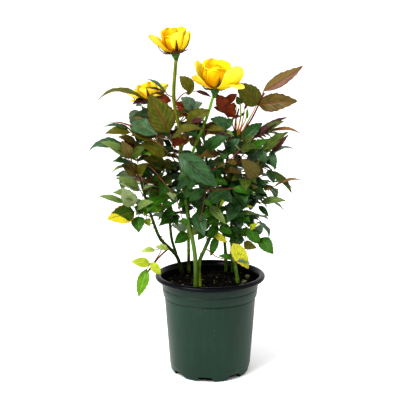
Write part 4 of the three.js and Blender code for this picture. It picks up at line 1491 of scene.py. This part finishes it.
def grow_leaf(clump, cane, height, heading, reach, rise, pairs, size, finishes):
    """One compound leaf: `heading` and `rise` in degrees, from +X and the level, `reach` and `size` in mm.

    The stalk follows reach times s outward and reach times (s tan(rise) - STALK_DROOP s^2) upward for s
    from 0 to 1. A pair spreads by about 62 degrees from the stalk; each leaflet's face looks up and
    outward.
    """
    turn = math.radians(heading)
    out, sky = np.array([math.cos(turn), math.sin(turn), 0]), np.array([0, 0, 1])
    share = np.linspace(0, 1, 6)[:, None]
    lift = math.tan(math.radians(rise)) * share - STALK_DROOP * share**2
    route = add_stalk(stem_point(cane, height) + out * reach * share + sky * reach * lift, *GROWN_STALK)
    finish = str(grower.choice(finishes))
    end = len(route) - 1
    for k in range(2 * pairs + 1):
        last = k == 2 * pairs
        at = int((1.0 if last else FIRST_PAIR + PAIRS_REACH * (k // 2) / max(1, pairs - 0.5)) * end)
        ahead = route[min(end, at + 1)] - route[max(0, at - 1)]
        ahead /= np.linalg.norm(ahead)
        side = np.cross(sky, ahead)
        side /= np.linalg.norm(side)
        swing = grower.uniform(-14, 14) if last else (1 if k % 2 else -1) * grower.uniform(48, 76)
        way = ahead * math.cos(math.radians(swing)) + side * math.sin(math.radians(swing))
        way[2] -= grower.uniform(0.0, 0.5)
        way /= np.linalg.norm(way)
        long = size * (END_SIZE if last else grower.uniform(0.72, 0.98))
        up = sky + out * grower.uniform(0.1, 0.9) + grower.normal(0, 0.22, 3)
        width = long * grower.uniform(0.5, 0.62)
        arch, fold = grower.uniform(0.06, 0.18), grower.uniform(0.15, 0.45)
        base, twist = route[at] + way * LEAFLET_GAP, grower.uniform(-0.4, 0.4)
        add_leaflet(clump, base, base + way * long, up, width, finish, arch, fold, twist)


# %% Clumps behind and inside: the cane, the heights, the headings, how many, and the finishes
BACK_GREENS = ["dark", "dark", "blue", "green"]
GROWN = {
    "leaves_back_top": [
        ("cane_right_back", (262, 283), (40, 150), 7, ["olive", "bronze", "dark", "olive"]),
        ("cane_left_fork", (262, 300), (50, 140), 4, ["olive", "dark", "bronze"]),
        ("cane_right", (255, 277), (30, 100), 4, ["olive", "copper", "dark"]),
    ],
    "leaves_back_left": [
        ("cane_left_fork", (205, 258), (60, 150), 9, BACK_GREENS),
        ("cane_middle", (205, 245), (80, 130), 5, BACK_GREENS),
    ],
    "leaves_back_right": [
        ("shoot_back_right", (196, 244), (10, 120), 9, BACK_GREENS),
        ("cane_right_back", (205, 250), (50, 110), 5, BACK_GREENS),
    ],
    "leaves_back_low": [
        ("shoot_back_low", (186, 197), (40, 150), 5, ["green", "light", "dark"]),
        ("cane_right_back", (160, 190), (60, 120), 4, ["green", "light"]),
        ("cane_left_fork", (165, 195), (70, 130), 4, ["green", "light", "dark"]),
        ("cane_right_outer", (165, 190), (30, 90), 3, ["green", "dark"]),
    ],
    "leaves_middle_front": [("cane_middle", (215, 255), (-20, 30), 2, ["dark", "dark", "olive"])],
    "leaves_right_shoulder": [
        ("cane_right", (232, 262), (-120, -60), 3, ["moss", "dark", "olive"]),
        ("cane_right_outer", (238, 255), (60, 110), 2, ["dark", "green"]),
    ],
    "leaves_right_middle": [("cane_right_outer", (196, 222), (-130, -80), 3, ["dark", "blue"])],
    "leaves_left_top": [("cane_left_fork", (262, 285), (70, 130), 3, ["olive", "dark", "bronze"])],
    "leaves_left_shoulder": [("cane_left", (222, 247), (70, 130), 4, ["dark", "olive", "blue"])],
    "leaves_middle_low": [("cane_middle", (192, 214), (-150, -30), 4, ["green", "dark", "blue"])],
    "leaves_right_low": [("cane_right", (178, 200), (-40, 20), 2, ["blue", "green"])],
    "leaves_left_low": [("cane_left", (196, 214), (60, 120), 2, ["dark", "green"])],
}
for clump, rules in GROWN.items():
    for cane, heights, headings, count, finishes in rules:
        for k in range(count):
            share = (k + grower.uniform(0.1, 0.9)) / count
            height = heights[0] + (heights[1] - heights[0]) * grower.uniform(0, 1)
            heading = headings[0] + (headings[1] - headings[0]) * share
            size, reach, rise = grower.uniform(21, 30), grower.uniform(24, 40), grower.uniform(25, 55)
            pairs = int(grower.choice([1, 2, 2]))
            grow_leaf(clump, cane, height, heading, reach, rise, pairs, size, finishes)
print("leaflets in all:", sum(len(rows) for rows in clumps.values()))

# %% Make the leaf pieces
for clump, rows in clumps.items():
    columns = [np.array(column) for column in list(zip(*rows))[:8]]
    tops = np.array([leaf_finishes.index(row[8]) for row in rows])
    unders = np.array([leaf_finishes.index(UNDER_OF[row[8]]) for row in rows])
    rings = leaflet_rings(*columns)
    faces = strip_faces(*rings.shape[:3], 2)
    places, finishes = band_places(CROSS_SIDE, station, tops, unders, 2)
    shells = Shells()
    shells.add(rings, faces, (finishes, tops, tops), places)
    new_piece(f"{clump}_leaflets", shells, leaf_skins, [clump], 70, "OFBake")


def stalk_skin(name, low, high):
    """Thin smooth stalks whose colour wavers between two."""
    tree = Tree(name, Roughness=0.45, Specular_IOR_Level=0.3)
    return tree.colour(tree.cloudy(60, 2, 0.42, 0.64, low, high))


stalk_skins = [
    stalk_skin("stalk_red", screen(104, 34, 26), screen(106, 80, 34)),
    stalk_skin("stalk_young", screen(206, 140, 84), screen(138, 160, 48)),
]
new_piece("leaf_stalks", stalk_shells, stalk_skins)

# %% [markdown]
# ## Blooms
#
# A half-open rose is a stack of whorls: a tight middle, a cup round it, and a few outer petals that
# lean out and roll back at their rims. Each petal is a surface of two parameters. Along it, its lean
# from the bloom's axis is a smooth function, and adding up those leans gives its profile. Across it,
# the petal bends round on a circle, so that it cups, and its edges roll the other way. A thin closed
# shell gives it two faces, so that the inside can be a deeper orange than the outside.

# %% A petal's surface
PETAL_STATIONS = 19
PETAL_SIDE = np.concatenate([np.linspace(1, -1, 13), np.linspace(-1, 1, 13)[1:-1]])
PETAL_FACE = np.concatenate([[0], np.full(11, 1.0), [0], np.full(11, -1.0)])
PETAL_TOP_FACES = 12
PETAL_HALF_THICKNESS = 0.17
LEAST_BEND, MOST_TURN = 5.0, 1.9
LEAN_AT = (0, 0.42, 0.84, 1)
petal_share = 1 - (1 - np.linspace(0, 1, PETAL_STATIONS)) ** 1.5


def petal_rings(azimuth, base, length, width, leans, cup, roll, wave, phase):
    """Rings of petals in the bloom's own frame, where the axis is +Z; angles are in degrees, sizes in mm.

    The profile's lean goes through four values, from the base to the rim; its radius and height are the
    running sums of the lean's sine and cosine. Half the width follows (0.25 + 0.75 u^0.65) (1 -
    u^6)^0.6. Across, a point lies on a circle of `cup` times the profile's radius that bends inward,
    the outer fifth rolls outward, and the rim waves.
    """
    u = petal_share[None]
    lean = np.radians(np.stack([np.interp(petal_share, LEAN_AT, row) for row in leans]))
    ease = np.gradient(petal_share)[None] * length[:, None]
    radius = base[:, None] + np.cumsum(np.sin(lean) * ease, axis=1)
    height = np.cumsum(np.cos(lean) * ease, axis=1)
    half = width[:, None] / 2 * (0.25 + 0.75 * u**0.65) * np.maximum(1 - u**6, 0.0005) ** 0.6
    bend = np.maximum(radius * cup[:, None], LEAST_BEND)[..., None]
    across = half[..., None] * PETAL_SIDE
    turn = np.clip(across / bend, -MOST_TURN, MOST_TURN)
    flip = roll[:, None, None] * half[..., None] * np.abs(PETAL_SIDE) ** 4 * u[..., None]
    ripple = wave[:, None, None] * u[..., None] ** 2 * np.sin(PETAL_SIDE * 5.2 + phase[:, None, None])
    inward = bend * (1 - np.cos(turn)) - flip + ripple + PETAL_FACE * PETAL_HALF_THICKNESS
    sideways = bend * np.sin(turn)
    a = np.radians(azimuth)[:, None, None]
    level = radius[..., None] - np.cos(lean)[..., None] * inward
    up = height[..., None] + np.sin(lean)[..., None] * inward
    x = np.cos(a) * level - np.sin(a) * sideways
    y = np.sin(a) * level + np.cos(a) * sideways
    return np.stack([x, y, up], -1)


def turned_to(looks):
    """The least turn that brings +Z to this way, as a matrix: 1 + A + A^2 / (1 + z), A being its cross."""
    z = np.array(looks, float) / np.linalg.norm(looks)
    axis = np.cross([0, 0, 1], z)
    across = np.array([[0, -axis[2], axis[1]], [axis[2], 0, -axis[0]], [-axis[1], axis[0], 0]])
    return np.eye(3) + across + across @ across / (1 + z[2])


# %% Petal finishes: foot, middle, rim and edge
PETAL_COLOURS = {
    # outside is the petals' own gold, darkened below pale by painted shade, for the petals that stand in
    # shade.
    "outside": ((142, 104, 3), (188, 140, 4), (232, 194, 18), (244, 220, 60)),
    "inside": ((216, 140, 2), (238, 184, 8), (246, 216, 40), (250, 232, 96)),
    "blushed": ((170, 136, 14), (222, 184, 26), (240, 204, 76), (230, 122, 80)),
    "heart": ((214, 116, 1), (232, 148, 3), (240, 186, 14), (244, 198, 30)),
    "pale": ((192, 156, 10), (230, 204, 36), (244, 232, 92), (248, 238, 128)),
}


def petal_skin(name, colours):
    """Velvety skin in three bands from foot to rim, fine lines along it, and a tinted edge."""
    foot, middle, rim, edge = (screen(*colour) for colour in colours)
    tree = Tree(f"petal_{name}", Roughness=0.6, Specular_IOR_Level=0.12)
    flat, _, along, off = on_square(tree)
    lines = tree.noise(tree.drawn_out(flat, (1, 0.1, 1)), 260, 2)
    cloud = tree.math("MULTIPLY", tree.math("SUBTRACT", tree.noise(flat, 30, 2), 0.5), 0.35)
    level = tree.math("ADD", along, cloud)
    colour = tree.mix(tree.ramp(level, 0.04, 0.38), foot, middle)
    colour = tree.mix(tree.ramp(level, 0.5, 0.95), colour, rim)
    far = tree.math("MAXIMUM", tree.ramp(off, 0.82, 1.0), tree.ramp(along, 0.93, 1.0))
    colour = tree.mix(tree.math("MULTIPLY", far, 0.8), colour, edge)
    colour = tree.mix(tree.ramp(lines, 0.5, 0.8, (0, 0.25)), colour, foot)
    tree.bump(lines, 0.3, 0.0005)
    return tree.colour(colour)


petal_finishes = list(PETAL_COLOURS)
petal_skins = [petal_skin(name, colours) for name, colours in PETAL_COLOURS.items()]
print("petal finishes:", len(petal_skins))

# %% Kinds of petal: foot radius, four leans, cup, roll, wave, and the finishes outside and inside
PETAL_KINDS = {
    "bud": (0.2, (26, 2, -12, -8), 1.0, -0.05, 0.3, "heart", "heart"),
    "heart": (0.6, (50, 2, -14, -10), 1.0, -0.05, 0.5, "heart", "heart"),
    "cup": (1.0, (88, 18, -4, 22), 1.05, 0.12, 0.9, "outside", "inside"),
    "back": (1.0, (84, 14, 2, 30), 1.1, 0.15, 1.4, "pale", "inside"),
    "pale": (1.2, (88, 20, -2, 14), 1.05, 0.1, 0.7, "pale", "inside"),
    # shaded petals wear the outside finish, whose darker gold is painted shade.
    "shaded": (1.5, (88, 22, -4, 24), 1.05, 0.16, 0.8, "outside", "inside"),
    "outer": (1.6, (88, 44, 26, 40), 1.3, 0.2, 0.9, "blushed", "inside"),
    "hugging": (1.6, (88, 38, 2, -6), 1.1, 0.1, 0.6, "pale", "inside"),
    "open": (1.6, (86, 52, 30, 52), 1.4, 0.2, 1.3, "pale", "pale"),
    "wing": (3.0, (88, 52, -4, 20), 1.3, 0.1, 1.0, "pale", "inside"),
    "tall": (1.6, (88, 34, 10, 34), 1.2, 0.15, 1.2, "pale", "pale"),
    "blush": (1.6, (88, 64, 36, 30), 1.5, 0.25, 0.9, "blushed", "blushed"),
    "spread": (1.8, (88, 74, 62, 70), 1.5, 0.25, 0.9, "blushed", "inside"),
    "low": (2.4, (56, 70, 104, 112), 1.7, 0.2, 1.4, "pale", "pale"),
}

# %% The three blooms: foot, way, and each petal's kind, azimuth, length and width
BLOOMS = {
    "bloom_tall": (
        (-38.2, -5, 368.4), (-0.09, -0.06, 1),
        [("bud", az, 24, 12) for az in (50, 170, 290)]
        + [("heart", az, 24 + 1.5 * k, 19) for k, az in enumerate((20, 110, 200, 290))]
        + [("back", 62, 32, 32), ("back", 118, 32, 32), ("cup", 172, 30, 30), ("cup", 0, 31, 29)]
        + [("pale", -54, 29, 33), ("shaded", -122, 24, 33), ("outer", 204, 35, 32), ("outer", 160, 29, 28)]
        + [("hugging", -22, 30, 25), ("hugging", 14, 30, 24), ("open", 84, 28, 30)],
    ),
    "bloom_wide": (
        (5, -20.2, 328.8), (0.08, -0.1, 1),
        [("bud", az, 26, 15) for az in (20, 140, 260)]
        + [("heart", az, 24 + k, 24) for k, az in enumerate((0, 80, 150, 230, 300))]
        + [("back", 66, 36, 38), ("back", 112, 37, 38), ("cup", 168, 31, 34), ("cup", 12, 32, 34)]
        + [("shaded", -108, 28, 44), ("wing", -46, 44, 42), ("tall", 160, 38, 38), ("cup", 204, 28, 34)]
        + [("blush", -140, 32, 26), ("low", -36, 35, 28), ("open", 78, 34, 38), ("cup", -84, 31, 34)],
    ),
    "bloom_left": (
        (-67.1, 18, 312), (-0.22, 0.05, 1),
        [("bud", az, 19, 12) for az in (0, 120, 240)]
        + [("heart", az, 18 + k, 18) for k, az in enumerate((30, 100, 170, 240, 310))]
        + [("cup", 20, 25, 26), ("back", 92, 27, 28), ("cup", 160, 26, 27), ("pale", -50, 23, 28)]
        + [("open", 196, 28, 30), ("open", 132, 29, 32), ("open", 50, 29, 32), ("open", -14, 27, 30)]
        + [("pale", -110, 22, 28), ("outer", 222, 25, 26), ("spread", -70, 22, 24)]
        + [("spread", 160, 22, 22)],
    ),
}
HIP_LENGTH = 7.5
petal_random = np.random.default_rng(3)


def add_petals(name, foot, turn, petals):
    """One bloom's petals in one piece, made in the bloom's own frame, which is then turned and placed."""
    kinds, *measures = zip(*petals)
    base, *shape, outer, inner = zip(*(PETAL_KINDS[kind] for kind in kinds))
    azimuth, *reach = (np.array(row, float) for row in measures)
    base, *shape = (np.array(row, float) for row in (base, *shape))
    phase = petal_random.uniform(0, 6.28, len(petals))
    rings = petal_rings(azimuth, base, *reach, *shape, phase)
    rings = (rings + [0, 0, HIP_LENGTH]) @ turn.T + foot
    tops, unders = (np.array([petal_finishes.index(side) for side in sides]) for sides in (inner, outer))
    places, finishes = band_places(PETAL_SIDE, petal_share, tops, unders, PETAL_TOP_FACES)
    shells = Shells()
    faces = strip_faces(*rings.shape[:3], PETAL_TOP_FACES)
    shells.add(rings, faces, (finishes, tops, tops), places)
    new_piece(f"{name}_petals", shells, petal_skins, replaces=[name], uv="OFBake")


# %% [markdown]
# ## Hips and sepals
#
# Under the petals sits the hip, a small green urn, and round its rim stand five sepals: narrow
# brown-green leaves that clasp the bloom and carry thin side lobes. The hip is a turned profile. A
# sepal is a leaflet with a small width that bows the other way, and each lobe is a still smaller one,
# so `leaflet_rings` makes them all.

# %% A bloom's hip and sepals
HIP = [(1.4, -3), (2.0, -1), (3.1, 1.2), (4.2, 3.4), (5.1, 5.4), (6.0, 7.2), (3.8, 8.6), (0.3, 9.2)]
HIP_AROUND = 14
FIRST_SEPAL, SEPAL_APART, SEPAL_STRAY = -84, 72, 12
SEPAL_RADIUS, SEPAL_SUNK = 3.6, 1.4
SEPAL_OUT = [0.5, 0.58, 0.62, 0.66, 0.76]
SEPAL_WIDTH, SEPAL_BOW, SEPAL_FOLD, SEPAL_TWIST = 3.4, 0.22, 0.1, 0.3
SEPAL_LOBES = [(0.03, 1.1), (0.05, -1.2), (0.2, 0.9), (0.16, -0.8)]
LOBE_LENGTH, LOBE_WIDTH, LOBE_BOW, LOBE_OUT, LOBE_STAND_OFF = 4.6, 2.6, 0.15, 0.25, 1.6
hips, sepal_rows = Shells(), []


def add_sepals(foot, turn):
    """Five sepals with their lobes, which leave them at shares of their length, to one side or the other.

    A sepal's way leans out by SEPAL_OUT; a lobe starts on the sepal's bow and a little outside it.
    """
    for k, lean in enumerate(SEPAL_OUT):
        a = math.radians(SEPAL_APART * k + FIRST_SEPAL + petal_random.uniform(-SEPAL_STRAY, SEPAL_STRAY))
        out, beside = np.array([math.cos(a), math.sin(a), 0]), np.array([-math.sin(a), math.cos(a), 0])
        reach = petal_random.uniform(18, 23)
        base = out * SEPAL_RADIUS + [0, 0, HIP_LENGTH - SEPAL_SUNK]
        way = out * lean + [0, 0, math.sqrt(1 - lean**2)]
        face = out * -way[2] + [0, 0, lean]
        rows = [(base, base + way * reach, SEPAL_WIDTH, -SEPAL_BOW)]
        for at, side in SEPAL_LOBES:
            on_bow = way * reach * at - face * reach * SEPAL_BOW * 4 * at * (1 - at)
            root = base + on_bow + out * LOBE_STAND_OFF
            tip = root + (way + beside * side + out * LOBE_OUT) * LOBE_LENGTH
            rows.append((root, tip, LOBE_WIDTH, -LOBE_BOW))
        for root, tip, wide, bow in rows:
            ends = (turn @ root + foot, turn @ tip + foot, turn @ face)
            sepal_rows.append((*ends, wide, bow, SEPAL_FOLD, SEPAL_TWIST, float(k)))


# %% Make the blooms
for name, (foot, looks, petals) in BLOOMS.items():
    turn = turned_to(looks)
    add_petals(name, foot, turn, petals)
    hips.add_rings(turned(HIP, HIP_AROUND) @ turn.T + foot)
    add_sepals(foot, turn)


def hip_skin(name, low, high):
    """Waxy skin that wavers between two colours."""
    tree = Tree(name, Roughness=0.4)
    return tree.colour(tree.cloudy(260, 2, 0.35, 0.65, low, high))


hip_skins = [
    hip_skin("hip_green", screen(16, 58, 8), screen(58, 110, 22)),
    hip_skin("sepal_brown", screen(96, 28, 14), screen(78, 52, 18)),
    hip_skin("sepal_green", screen(60, 84, 16), screen(92, 78, 24)),
]
SEPAL_SKINS = [1, 2, 1]  # one for each bloom
sepals = leaflet_rings(*(np.array(column) for column in zip(*sepal_rows)))
hips.add_rings(sepals, np.repeat(SEPAL_SKINS, len(sepals) // len(BLOOMS)))
new_piece("hips_and_sepals", hips, hip_skins)

# %% [markdown]
# ## Floor and light
#
# The bush stands on white paper in white light from all sides, with one large soft lamp high on the
# left. It could stand in a lit box, but a plain world colour lights it as evenly and costs no time.
# Neither the floor nor the lamp is part of the bush.

# %% Floor
FLOOR_HALF = 30.0  # m, so that its edge is out of sight
FLOOR_WHITE = (0.97, 0.97, 0.97, 1)
floor_mesh = bpy.data.meshes.new("floor")
floor_corners = [(FLOOR_HALF * x, FLOOR_HALF * y, 0) for x, y in ((-1, -1), (1, -1), (1, 1), (-1, 1))]
floor_mesh.from_pydata(floor_corners, [], [(0, 1, 2, 3)])
floor_mesh.materials.append(Tree("floor_paper", Roughness=0.9, Base_Color=FLOOR_WHITE).material)
floor = bpy.data.objects.new("floor", floor_mesh)
bpy.context.scene.collection.objects.link(floor)

# %% Light
WORLD_LIGHT = 0.9
world = bpy.data.worlds.new("studio")
world.use_nodes = True
world.node_tree.nodes["Background"].inputs["Color"].default_value = (1, 1, 1, 1)
world.node_tree.nodes["Background"].inputs["Strength"].default_value = WORLD_LIGHT
bpy.context.scene.world = world


def softbox(name, place, target, size, watts):
    """A square area light that looks from `place` to `target`, in metres."""
    data = bpy.data.lights.new(name, "AREA")
    data.size, data.energy = size, watts
    lamp = bpy.data.objects.new(name, data)
    way = np.array(target) - np.array(place)
    lamp.location = place
    lamp.rotation_euler = (math.atan2(math.hypot(way[0], way[1]), -way[2]), 0, math.atan2(-way[0], way[1]))
    bpy.context.scene.collection.objects.link(lamp)


softbox("key", (-0.9, -0.9, 1.5), (0, 0, 0.22), 0.9, 26)
bpy.context.scene.view_settings.view_transform = "Standard"
bpy.context.scene.view_settings.look = "High Contrast"
